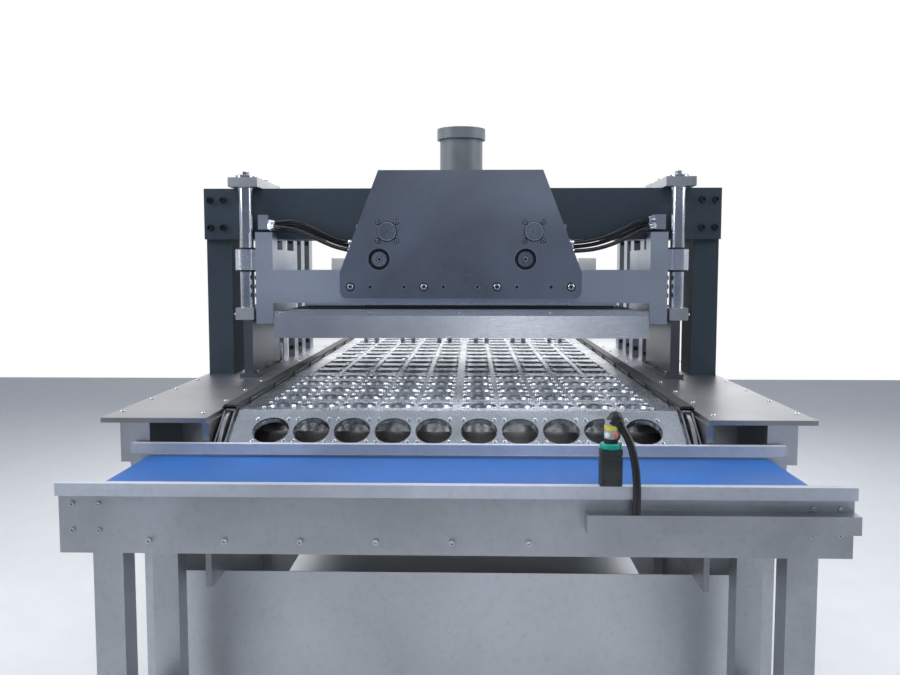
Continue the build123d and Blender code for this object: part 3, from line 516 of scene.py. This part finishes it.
class FILLER_OT_hoses(bpy.types.Operator):
    """Three hoses a side between the glands and the blocks behind the front plate"""

    bl_idname = "filler.hoses"
    bl_label = "Hoses"

    def execute(self, context):
        bm = bmesh.new()
        for node, (length, points) in HOSES.items():
            add_cord(
                node + "_line", points, HOSE_R, "hose", node, length, "hose_black",
                stiffness="stiff", lay="hanging",
            )
            for end, inner in ((points[0], points[1]), (points[-1], points[-2])):
                way = spot(*inner) - spot(*end)
                nut(bm, facing(spot(*end), way), 0.0092, 0.010)
                turned(bm, facing(spot(*end), way), [
                    (0.0078, 0.010), (0.0078, 0.016), (0.0062, 0.019),
                ], 16)
        piece_from(bm, "hose_nuts", "bright", "root", 25)
        return {"FINISHED"}


def facing(place, way):
    return Matrix.Translation(place) @ way.to_track_quat("Z", "Y").to_matrix().to_4x4()


def nut(bm, place, radius, height):
    """A hexagon with chamfered corners."""
    turned(bm, place, [
        (radius * 0.9, 0), (radius, height * 0.12), (radius, height * 0.88), (radius * 0.9, height),
    ], 6)


def socket_head(bm, place, radius, height, steps=20):
    """A cylindrical head with a bevelled rim and a deep socket."""
    turned(bm, place, [
        (radius, -0.0002), (radius, height * 0.85), (radius * 0.92, height),
        (radius * 0.58, height), (radius * 0.54, height * 0.9), (radius * 0.54, height * 0.35),
    ], steps)


def socket_painted_shade(bm, place, radius, height):
    """A dark disc at the bottom of a socket: painted shade for the shade in the hollow."""
    low = place @ Matrix.Translation((0, 0, height * 0.3))
    turned(bm, low, [(radius * 0.50, 0.0), (radius * 0.50, height * 0.12)], 6)


def hex_bolt(bm, place, radius, height):
    """A washer and a hexagon head."""
    turned(bm, place, [(radius * 1.45, -0.0002), (radius * 1.45, height * 0.2)], 20)
    nut(bm, place @ Matrix.Translation((0, 0, height * 0.2)), radius, height * 0.8)


def outline_ring(bm, centre, half_x, half_y, corner, z, steps=5):
    """A rounded rectangle of vertices at one height."""
    verts = []
    for sx, sy, start in ((1, 1, 0), (-1, 1, 90), (-1, -1, 180), (1, -1, 270)):
        for i in range(steps + 1):
            angle = math.radians(start + 90 * i / steps)
            verts.append(bm.verts.new((
                centre[0] + sx * (half_x - corner) + corner * math.cos(angle),
                centre[1] + sy * (half_y - corner) + corner * math.sin(angle),
                z,
            )))
    return verts


def stacked(bm, rows):
    for low, high in zip(rows, rows[1:]):
        count = len(low)
        for i in range(count):
            j = (i + 1) % count
            bm.faces.new((low[i], low[j], high[j], high[i]))
    bm.faces.new(list(reversed(rows[0])))
    bm.faces.new(rows[-1])


SENSOR = (256.5, -450.0)
ELBOW = (263.5, -450.0, 62.5)
SENSOR_LEVELS = {"foot": -47.5, "collar": 13.0, "neck": 22.0, "band": 30.0, "barrel": 42.0}


class FILLER_OT_sensor(bpy.types.Operator):
    """The sensor on the near guide, its lamps, its angled plug and its cable"""

    bl_idname = "filler.sensor"
    bl_label = "Sensor"

    def execute(self, context):
        x, y = SENSOR
        middle = spot(x, y, 0)
        level = {key: spot(x, y, z).z for key, z in SENSOR_LEVELS.items()}
        self.add_housing(middle, level)
        self.add_collar(middle, level)
        self.add_lamps(level)
        plug = self.add_plug(middle, level)
        add_cord(
            "sensor_lead", CABLE, CABLE_R, "rubber", "sensor_cable", 0.1475, "cable_black",
            stiffness="medium", lay="hanging", with_pieces=[plug],
        )
        return {"FINISHED"}

    def add_housing(self, middle, level):
        """The block with its parting line, a raised blank plate and two screws."""
        bm = bmesh.new()
        foot, top = level["foot"], level["collar"]
        shape = (
            (foot, 0.0175, 0.0105), (foot + 0.002, 0.0185, 0.011), (top - 0.014, 0.0185, 0.011),
            (top - 0.013, 0.0175, 0.010), (top - 0.011, 0.0175, 0.010),
            (top - 0.010, 0.0185, 0.011), (top - 0.0015, 0.0185, 0.011), (top, 0.0165, 0.0095),
        )
        stacked(bm, [outline_ring(bm, middle, hx, hy, 0.004, z) for z, hx, hy in shape])
        front = Vector((0, -1, 0))
        for side in (-1, 1):
            place = facing(Vector((middle.x + side * 0.0125, middle.y - 0.011, foot + 0.008)), front)
            socket_head(bm, place, 0.0028, 0.002, 12)
        face = middle.y - 0.011
        plate = [(middle.x - 0.013, middle.x + 0.013), (foot + 0.018, top - 0.018)]
        rows = []
        for depth, inset in ((0.0002, 0), (-0.0006, 0), (-0.0009, 0.0008)):
            rows.append([
                bm.verts.new((xx, face + depth, zz))
                for xx, zz in (
                    (plate[0][0] + inset, plate[1][0] + inset),
                    (plate[0][1] - inset, plate[1][0] + inset),
                    (plate[0][1] - inset, plate[1][1] - inset),
                    (plate[0][0] + inset, plate[1][1] - inset),
                )
            ])
        stacked(bm, rows)
        housing = piece_from(bm, "sensor_housing", "grey_case", "root", 30)
        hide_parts("sensor")

    def add_collar(self, middle, level):
        """The round signal collar and the knurled ring that stands in it."""
        bm = bmesh.new()
        base = Matrix.Translation((middle.x, middle.y, level["collar"]))
        outline = [
            (0.0112, 0.0), (0.0165, 0.0), (0.0176, 0.0012), (0.0176, 0.0066), (0.0168, 0.0082),
            (0.0150, 0.0090), (0.0118, 0.0090), (0.0112, 0.0084),
        ]
        lathe(bm, base, outline, 48)
        piece_from(bm, "sensor_collar", "green", "root", 40)
        bm = bmesh.new()
        steps = 48
        rows = []
        for z, radius in ((0.004, 0.0104), (0.0155, 0.0104), (0.017, 0.0098)):
            rows.append([
                bm.verts.new((
                    middle.x + (radius + 0.0006 * (i % 2)) * math.cos(math.tau * i / steps),
                    middle.y + (radius + 0.0006 * (i % 2)) * math.sin(math.tau * i / steps),
                    level["collar"] + z,
                ))
                for i in range(steps)
            ])
        stacked(bm, rows)
        piece_from(bm, "sensor_ring", "rubber", "root", 30)

    def add_lamps(self, level):
        """A pale translucent band with a white and a red lens."""
        x, y = SENSOR
        middle = spot(x, y, 0)
        bm = bmesh.new()
        band = Matrix.Translation((middle.x, middle.y, level["band"]))
        turned(bm, band, [
            (0.0104, -0.001), (0.0112, 0.0005), (0.0112, 0.0112), (0.0104, 0.0122),
        ], 40)
        piece_from(bm, "sensor_band", "pale_case", "root", 40)
        for name, finish, side in (("lens_left", "white_case", -1), ("lens_right", "red", 1)):
            bm = bmesh.new()
            way = Vector((side * 0.62, -0.78, 0))
            centre = Vector((middle.x, middle.y, level["band"] + 0.0056))
            place = facing(centre + way * 0.0095, way)
            turned(bm, place, [
                (0.0046, -0.002), (0.0046, 0.0022), (0.0038, 0.0036), (0.0022, 0.0044),
                (0.0006, 0.0046),
            ], 24)
            piece_from(bm, "sensor_" + name, finish, "root", 60)

    def add_plug(self, middle, level):
        """The barrel with its yellow sleeve, the elbow and the ribbed neck to the cable."""
        bm = bmesh.new()
        barrel = Matrix.Translation((middle.x, middle.y, level["barrel"]))
        turned(bm, barrel, [(0.0098, -0.0005), (0.0102, 0.001), (0.0100, 0.018)], 40)
        piece_from(bm, "sensor_barrel", "pale_case", "root", 40)
        bm = bmesh.new()
        lathe(bm, barrel @ Matrix.Translation((0, 0, 0.0012)), [
            (0.0098, 0.0), (0.0106, 0.0), (0.0108, 0.0006), (0.0106, 0.0076), (0.0098, 0.0076),
        ], 40)
        piece_from(bm, "sensor_sleeve", "yellow", "root", 30)
        bm = bmesh.new()
        elbow = spot(*ELBOW)
        start = spot(*CABLE[0])
        way = start - elbow
        turned(bm, facing(elbow, way), [
            (0.0010, -0.0112), (0.0052, -0.0100), (0.0086, -0.0072), (0.0106, -0.0036),
            (0.0112, 0.0), (0.0110, 0.0040), (0.0100, 0.0070), (0.0092, 0.0075),
            (0.0092, 0.0092), (0.0096, 0.0096), (0.0096, 0.0110), (0.0086, 0.0114),
            (0.0086, 0.0128), (0.0090, 0.0132), (0.0090, 0.0146), (0.0076, 0.0150),
        ], 32)
        under = Vector((middle.x, middle.y, spot(0, 0, 52).z))
        rise = elbow - under
        turned(bm, facing(under, rise), [
            (0.0104, 0.0), (0.0110, 0.0015), (0.0110, rise.length * 0.8), (0.0098, rise.length),
        ], 32)
        plug = piece_from(bm, "sensor_elbow", "rubber", "root", 40)
        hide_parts("sensor_plug")
        return plug


def lathe(bm, place, outline, steps=32):
    """A closed outline of (radius, height) points carried round the axis."""
    rows = [ring(bm, place, radius, z, steps) for radius, z in outline]
    for low, high in zip(rows, rows[1:] + rows[:1]):
        for i in range(steps):
            j = (i + 1) % steps
            bm.faces.new((low[i], low[j], high[j], high[i]))


FRONT_FACE = 508.0
HEAD_FACE = 533.0
FRONT_BOTTOM = 219.0
PLATE_ROW = FRONT_BOTTOM + 31.0
PLATE_LARGE = (98, 296)
PLATE_SMALL = (45.5, 151, 242)
CAP_X = 196.0
CAP_Z = FRONT_BOTTOM + 178.6
CAP_SQUARE = 24.75
RECESS_X = (-218.0, 174.0)
RECESS_Z = FRONT_BOTTOM + 105.0
GUARD_SCREWS = (-489, -245, 0, 245, 489)
GUARD_ROW = 177.0
TEETH_X = (-270.0, 304.0)
TOOTH_PITCH = 8.0


class FILLER_OT_head_screws(bpy.types.Operator):
    """Screws in the front plate, its caps and recesses, the guard and the end plates, with painted shade
    round some heads, in the sockets and in the recesses
    """

    bl_idname = "filler.head_screws"
    bl_label = "Press head screws"

    def execute(self, context):
        front = Vector((0, -1, 0))
        bright = bmesh.new()
        # dark holds the black screws and the painted shade pieces: rings round heads and caps, socket
        # discs and recess rings
        dark = bmesh.new()
        for side in (-1, 1):
            for x in PLATE_LARGE:
                place = facing(spot(side * x, FRONT_FACE, PLATE_ROW), front)
                # painted shade: a flat dark ring round the head stands in for the shaded gap round the
                # screw
                tube_ring(dark, place, 0.0088, 0.0122, 0.0008)
                socket_head(bright, place, 0.0082, 0.0036)
                socket_painted_shade(dark, place, 0.0082, 0.0036)
            for x in PLATE_SMALL:
                place = facing(spot(side * x, FRONT_FACE, PLATE_ROW), front)
                turned(bright, place, [(0.0060, -0.0002), (0.0060, 0.0006)], 20)
                socket_head(dark, place, 0.0046, 0.0020, 16)
            for dx in (-1, 1):
                for dz in (-1, 1):
                    x = side * CAP_X + dx * CAP_SQUARE
                    place = facing(spot(x, FRONT_FACE, CAP_Z + dz * CAP_SQUARE), front)
                    # painted shade: a flat dark ring round the head stands in for the shaded gap round
                    # the screw
                    tube_ring(dark, place, 0.0052, 0.0074, 0.0008)
                    socket_head(bright, place, 0.0050, 0.0045, 16)
                    socket_painted_shade(dark, place, 0.0050, 0.0045)
            place = facing(spot(side * CAP_X, FRONT_FACE, CAP_Z), front)
            # painted shade: a flat dark ring round the cap stands in for the shadow gap between cap and
            # plate
            tube_ring(dark, place, 0.0251, 0.0272, 0.0008, 48)
            face = place @ Matrix.Translation((0, 0, 0.008))
            lathe(bright, face, [
                (0.0222, -0.0002), (0.0248, -0.0002), (0.0245, 0.0008), (0.0226, 0.0008),
            ], 48)
        for x in RECESS_X:
            rim = facing(spot(x, FRONT_FACE, RECESS_Z), front)
            lathe(bright, rim, [
                (0.0288, -0.001), (0.0304, -0.001), (0.0302, 0.0004), (0.0290, 0.0004),
            ], 48)
            # painted shade: a dark ring on the recess floor stands in for the recess wall in shadow
            floor = facing(spot(x, FRONT_FACE + 16, RECESS_Z), front)
            tube_ring(dark, floor, 0.0202, 0.0286, 0.004, 48)
            place = facing(spot(x, FRONT_FACE + 13, RECESS_Z), front)
            socket_head(bright, place, 0.0080, 0.0070)
            socket_painted_shade(dark, place, 0.0080, 0.0070)
        for x in GUARD_SCREWS:
            place = facing(spot(x, HEAD_FACE, GUARD_ROW), front)
            button_head(bright, place, 0.0048, 0.0030, 16)
        for side in (-1, 1):
            out = Vector((side, 0, 0))
            for y in (HEAD_FACE + 20, HEAD_FACE + 290):
                for z in (226, 250, 274):
                    socket_head(dark, facing(spot(side * 557, y, z), out), 0.0065, 0.0062, 16)
        piece_from(bright, "head_screws", "screw", "press_head", 25)
        piece_from(dark, "head_dark_screws_and_painted_shade", "black_screw", "press_head", 25)
        return {"FINISHED"}


class FILLER_OT_head_trim(bpy.types.Operator):
    """The toothed edge of the tool plate, the collars of the sealing heads and the wipers"""

    bl_idname = "filler.head_trim"
    bl_label = "Press head trim"

    def execute(self, context):
        bm = bmesh.new()
        low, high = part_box("insulation_plate")[1][2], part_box("head_crossbars")[0][2]
        edge = spot(0, HEAD_FACE + 8, 0).y
        count = int((TEETH_X[1] - TEETH_X[0]) / TOOTH_PITCH)
        for i in range(count):
            x = TEETH_X[0] + TOOTH_PITCH * (i + 0.5)
            left, right = spot(x - 2.6, 0, 0).x, spot(x + 2.6, 0, 0).x
            tooth(bm, (left, right), (edge - 0.0035, edge + 0.0005), (low, high))
        piece_from(bm, "tool_plate_teeth", "bright", "press_head", 30)
        bm = bmesh.new()
        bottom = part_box("sealing_heads")[0][2]
        for x in LANE_X:
            for row in (5.5, 6.5):
                place = Matrix.Translation((x, FOLD_Y + row * PITCH, bottom))
                turned(bm, place, [
                    (0.0300, 0.0002), (0.0334, 0.0010), (0.0334, 0.0060), (0.0325, 0.0070),
                ], 32)
                turned(bm, place @ Matrix.Translation((0, 0, 0.030)), [
                    (0.0330, 0), (0.0352, 0.001), (0.0352, 0.009), (0.0330, 0.010),
                ], 32)
        piece_from(bm, "sealing_head_collars", "screw", "press_head", 30)
        bm = bmesh.new()
        for side in (-1, 1):
            for y in PILLAR_Y:
                for z, flip in ((BUSH_Z[0], -1), (BUSH_Z[1], 1)):
                    place = facing(spot(side * PILLAR_X, y, z), Vector((0, 0, flip)))
                    tube_ring(bm, place, 0.0203, 0.0290, 0.005)
        piece_from(bm, "pillar_wipers", "rubber", "press_head", 30)
        return {"FINISHED"}


def tooth(bm, x, y, z):
    """A bar with its front lower edge bevelled."""
    bevel = (z[1] - z[0]) * 0.25
    outline = [
        (y[1], z[0]), (y[0] + bevel, z[0]), (y[0], z[0] + bevel), (y[0], z[1]), (y[1], z[1]),
    ]
    ends = [[bm.verts.new((side, yy, zz)) for yy, zz in outline] for side in x]
    stacked(bm, ends)


def tube_ring(bm, place, inner, outer, height, steps=28):
    """A flat ring with a rounded outer rim."""
    lathe(bm, place, [
        (inner, 0), (outer, 0), (outer, height * 0.7), (outer - height * 0.3, height),
        (inner, height),
    ], steps)


PILLAR_X = 590.0
PILLAR_Y = (572.0, 792.0)
BUSH_Z = (295.0, 351.0)
GANTRY_Y = (600.0, 757.0)
GANTRY_Z = (380.0, 520.0)


class FILLER_OT_frame_screws(bpy.types.Operator):
    """Bolts and screws in the stands, beam, columns, table, bearings and panels"""

    bl_idname = "filler.frame_screws"
    bl_label = "Frame screws"

    def execute(self, context):
        bolts = bmesh.new()
        dark = bmesh.new()
        self.press_bolts(bolts)
        self.beam_bolts(dark)
        self.column_screws(dark, bolts)
        self.table_screws(bolts)
        self.bearing_bolts(bolts)
        self.panel_screws(bolts)
        self.outfeed_bolts(bolts)
        piece_from(bolts, "frame_screws", "screw", "root", 25)
        piece_from(dark, "frame_screws_dark", "black_screw", "root", 25)
        return {"FINISHED"}

    def press_bolts(self, bm):
        """Along both sides of the stands' feet, and on the pillar mounts."""
        up = Vector((0, 0, 1))
        for side in (-1, 1):
            for y in (563, 700, 836):
                for x in (562, 599):
                    socket_head(bm, facing(spot(side * x, y, 12), up), 0.0045, 0.0050, 16)
            for y in PILLAR_Y:
                for dy in (-28, 28):
                    place = facing(spot(side * (PILLAR_X + 25), y + dy, 175), Vector((side, 0, 0)))
                    socket_head(bm, place, 0.0045, 0.0045, 16)
            for y in PILLAR_Y:
                place = facing(spot(side * PILLAR_X, y, 545), up)
                turned(bm, place, [(0.0280, 0), (0.0280, 0.006), (0.0265, 0.008)], 32)
                hex_bolt(bm, place @ Matrix.Translation((0, 0, 0.008)), 0.010, 0.010)

    def beam_bolts(self, bm):
        """Four at each end of the beam, front and rear, and round the cylinder's flange."""
        for side in (-1, 1):
            for x in (662, 698):
                for z in (GANTRY_Z[0] + 32, GANTRY_Z[1] - 32):
                    for y, way in ((GANTRY_Y[0], -1), (GANTRY_Y[1], 1)):
                        place = facing(spot(side * x, y, z), Vector((0, way, 0)))
                        socket_head(bm, place, 0.0090, 0.0090)
        middle = (GANTRY_Y[0] + GANTRY_Y[1]) / 2
        for i in range(8):
            angle = math.tau * (i + 0.5) / 8
            place = spot(78 * math.cos(angle), middle + 78 * math.sin(angle), GANTRY_Z[1] + 20)
            socket_head(bm, facing(place, Vector((0, 0, 1))), 0.0065, 0.0080, 16)

    def column_screws(self, dark, bright):
        for y in COLUMN_Y:
            for side in (-1, 1):
                for z in (388, 30):
                    place = facing(spot(side * 582, y, z), Vector((0, -1, 0)))
                    socket_head(dark, place, 0.0080, 0.0060, 16)
                for dy in (15, 45):
                    place = facing(spot(side * 582, y + dy, 427), Vector((0, 0, 1)))
                    socket_head(bright, place, 0.0060, 0.0060, 16)

    def table_screws(self, bm):
        """Along the inner edge of each table plate, over the side frames, and at the outer."""
        up = Vector((0, 0, 1))
        low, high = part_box("table_plates")
        count = 13
        for i in range(count):
            y = low[1] + 0.06 + (high[1] - low[1] - 0.12) * i / (count - 1)
            for side in (-1, 1):
                if not 510 < (y - FOLD_Y) * 1000 < 890:
                    place = facing(Vector((side * 0.528, y, SLAT_Z)), up)
                    button_head(bm, place, 0.0055, 0.0030, 12)
                place = facing(Vector((side * 0.706, y + 0.02, SLAT_Z)), up)
                if not 570 < (y + 0.02 - FOLD_Y) * 1000 < 790:
                    button_head(bm, place, 0.0055, 0.0030, 12)

    def bearing_bolts(self, bm):
        low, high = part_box("bearings")
        for axle_y in (FRONT_AXLE_Y, REAR_AXLE_Y):
            for side in (-1, 1):
                for dy in (-0.044, 0.044):
                    for dz in (-0.044, 0.044):
                        spot_x = side * (high[0] - 0.014)
                        place = facing(
                            Vector((spot_x, axle_y + dy, AXLE_Z + dz)), Vector((side, 0, 0))
                        )
                        hex_bolt(bm, place, 0.0070, 0.0080)

    def panel_screws(self, bm):
        """Quarter-turn locks near the corners and middles of the side panels."""
        low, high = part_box("closing_panels")
        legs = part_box("legs")
        leg_y = (legs[0][1] + 0.03, (legs[0][1] + legs[1][1]) / 2, legs[1][1] - 0.03)
        for side in (-1, 1):
            way = Vector((side, 0, 0))
            for front, rear in zip(leg_y, leg_y[1:]):
                for y in (front + 0.075, (front + rear) / 2, rear - 0.075):
                    for z in (low[2] + 0.045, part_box("long_beams")[0][2] - 0.045):
                        place = facing(Vector((side * high[0], y, z)), way)
                        turned(bm, place, [
                            (0.0130, -0.0002), (0.0130, 0.0015), (0.0112, 0.0030),
                            (0.0060, 0.0034), (0.0052, 0.0012),
                        ], 24)

    def outfeed_bolts(self, bm):
        """Through the channels' faces along the near side, and round the roll bearings."""
        low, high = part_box("outfeed_channels")
        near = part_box("outfeed_belt")[0][1] - 0.008
        front = Vector((0, -1, 0))
        count = 9
        for i in range(count):
            x = -0.5 + 1.0 * i / (count - 1)
            if x < 0.19:
                place = facing(Vector((x, near, low[2] + 0.022)), front)
                socket_head(bm, place, 0.0050, 0.0050, 16)
        for side in (-1, 1):
            for dx in (-0.022, 0.022):
                for dz in (-0.022, 0.022):
                    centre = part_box("outfeed_bed_and_rolls")
                    x = side * (centre[1][0] - 0.030) + dx
                    z = (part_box("outfeed_belt")[0][2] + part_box("outfeed_belt")[1][2]) / 2 + dz
                    socket_head(bm, facing(Vector((x, near, z)), front), 0.0040, 0.0040, 14)


COLUMN_Y = (944.0, 1117.0, 1249.0, 1403.0)


class FILLER_OT_stage(bpy.types.Operator):
    """Floor, backdrop, lamps and the camera"""

    bl_idname = "filler.stage"
    bl_label = "Stage"

    def execute(self, context):
        scene = context.scene
        scene.view_settings.view_transform = "Standard"
        values = sizes()
        add_camera(scene, values)
        add_floor()
        add_backdrop()
        add_world(scene)
        add_lamps(values.lamp_strength)
        return {"FINISHED"}


def add_camera(scene, values):
    data = bpy.data.cameras.new("camera")
    data.sensor_width = 36.0
    data.lens = values.focal_pixels * 36.0 / 900
    data.clip_end = 60
    camera = bpy.data.objects.new("camera", data)
    camera.location = (values.camera_x, FOLD_Y - values.camera_back, SLAT_Z + values.camera_height)
    camera.rotation_euler = (math.pi / 2 - values.camera_pitch, 0, values.camera_yaw)
    scene.collection.objects.link(camera)
    scene.camera = camera


def seen_white(material):
    """White to the camera and in reflections, its own colour to the light."""
    nodes, links = material.node_tree.nodes, material.node_tree.links
    shader = nodes["Principled BSDF"]
    glow = nodes.new("ShaderNodeEmission")
    glow.inputs["Strength"].default_value = 1.0
    path = nodes.new("ShaderNodeLightPath")
    seen = nodes.new("ShaderNodeMath")
    seen.operation = "MAXIMUM"
    links.new(path.outputs["Is Camera Ray"], seen.inputs[0])
    links.new(path.outputs["Is Glossy Ray"], seen.inputs[1])
    also = nodes.new("ShaderNodeMath")
    also.operation = "MAXIMUM"
    links.new(seen.outputs[0], also.inputs[0])
    links.new(path.outputs["Is Transmission Ray"], also.inputs[1])
    join = nodes.new("ShaderNodeMixShader")
    links.new(also.outputs[0], join.inputs["Fac"])
    links.new(shader.outputs[0], join.inputs[1])
    links.new(glow.outputs[0], join.inputs[2])
    links.new(join.outputs[0], nodes["Material Output"].inputs["Surface"])
    return material


def sheet_of(name, line, half, material):
    """A wide sheet along a line of (y, z) points."""
    bm = bmesh.new()
    rows = [[bm.verts.new((x, y, z)) for x in (-half, half)] for y, z in line]
    for low, high in zip(rows, rows[1:]):
        bm.faces.new((low[0], low[1], high[1], high[0]))
    mesh = bpy.data.meshes.new(name)
    bm.to_mesh(mesh)
    bm.free()
    mesh.shade_smooth()
    mesh.materials.append(material)
    sheet = bpy.data.objects.new(name, mesh)
    bpy.context.scene.collection.objects.link(sheet)


def add_floor():
    pale = plain_coat("floor_pale", (0.82, 0.83, 0.84), 0.7, 40.0, 0.0, 0.02)
    sheet_of("floor", [(-14.0, 0.0), (7.0, 0.0)], 14.0, pale)


def add_backdrop():
    white = seen_white(plain_coat("backdrop_white", (0.90, 0.90, 0.90), 0.8, 40.0, 0.0, 0.01))
    sheet_of("backdrop", [(7.0, 0.0), (7.0, 9.0)], 14.0, white)


def add_world(scene):
    """Dim in front of the machine, paler overhead and behind it."""
    world = bpy.data.worlds.new("studio")
    scene.world = world
    world.use_nodes = True
    nodes, links = world.node_tree.nodes, world.node_tree.links
    back = nodes["Background"]
    back.inputs["Strength"].default_value = 1.0
    way = nodes.new("ShaderNodeSeparateXYZ")
    links.new(nodes.new("ShaderNodeTexCoord").outputs["Generated"], way.inputs[0])
    level = nodes.new("ShaderNodeMath")
    level.operation = "MULTIPLY_ADD"
    level.inputs[1].default_value = -0.1
    links.new(way.outputs["Z"], level.inputs[0])
    links.new(way.outputs["Y"], level.inputs[2])
    span = nodes.new("ShaderNodeMapRange")
    span.inputs["From Min"].default_value = -1.0
    span.inputs["From Max"].default_value = 1.0
    links.new(level.outputs[0], span.inputs["Value"])
    tone = nodes.new("ShaderNodeValToRGB")
    dim, pale = tone.color_ramp.elements
    dim.position, pale.position = 0.15, 0.95
    dim.color, pale.color = (0.14, 0.165, 0.22, 1), (0.80, 0.85, 0.92, 1)
    links.new(span.outputs[0], tone.inputs["Fac"])
    links.new(tone.outputs["Color"], back.inputs["Color"])


def add_lamps(strength):
    lamps = (
        ("front", (0.45, -4.4, 2.45), (0.7, 0.6), 1.6),
        ("front_high", (0.1, -3.6, 3.6), (2.0, 0.8), 30),
        ("within", (0.0, 0.15, 2.1), (1.6, 0.5), 26),
        ("left", (-2.9, -1.4, 3.0), (1.2, 3.2), 75),
        ("right", (2.9, -1.0, 3.0), (1.2, 3.2), 60),
        ("rear", (0.2, 3.6, 3.0), (3.2, 1.4), 60),
    )
    target = Vector((0, -0.3, 0.9))
    station = Vector((0, 0.9, 1.0))
    for name, place, size, power in lamps:
        data = bpy.data.lights.new(name, "AREA")
        data.shape = "RECTANGLE"
        data.size, data.size_y = size
        data.energy = power * strength
        lamp = bpy.data.objects.new(name, data)
        lamp.location = place
        aim = station if name == "within" else target
        lamp.rotation_euler = (aim - Vector(place)).to_track_quat("-Z", "Y").to_euler()
        bpy.context.scene.collection.objects.link(lamp)


OPERATORS = (
    FILLER_OT_stage,
    FILLER_OT_finishes,
    FILLER_OT_hoses,
    FILLER_OT_sensor,
    FILLER_OT_slat_bolts,
    FILLER_OT_head_screws,
    FILLER_OT_head_trim,
    FILLER_OT_frame_screws,
)


class FILLER_PT_panel(bpy.types.Panel):
    """Lists the machine's pieces"""

    bl_idname = "FILLER_PT_panel"
    bl_label = "Sealing machine"
    bl_space_type = "VIEW_3D"
    bl_region_type = "UI"
    bl_category = "Sealing machine"

    def draw(self, context):
        for operator in OPERATORS:
            self.layout.operator(operator.bl_idname)


CLASSES = (SceneSizes, SceneColours, *OPERATORS, FILLER_PT_panel)


def register():
    for item in CLASSES:
        bpy.utils.register_class(item)
    bpy.types.Scene.filler_sizes = bpy.props.PointerProperty(type=SceneSizes)
    bpy.types.Scene.filler_colours = bpy.props.PointerProperty(type=SceneColours)


def unregister():
    del bpy.types.Scene.filler_colours
    del bpy.types.Scene.filler_sizes
    for item in reversed(CLASSES):
        bpy.utils.unregister_class(item)


def main():
    register()
    for operator in OPERATORS:
        group, name = operator.bl_idname.split(".")
        getattr(getattr(bpy.ops, group), name)()


if __name__ == "__main__":
    main()
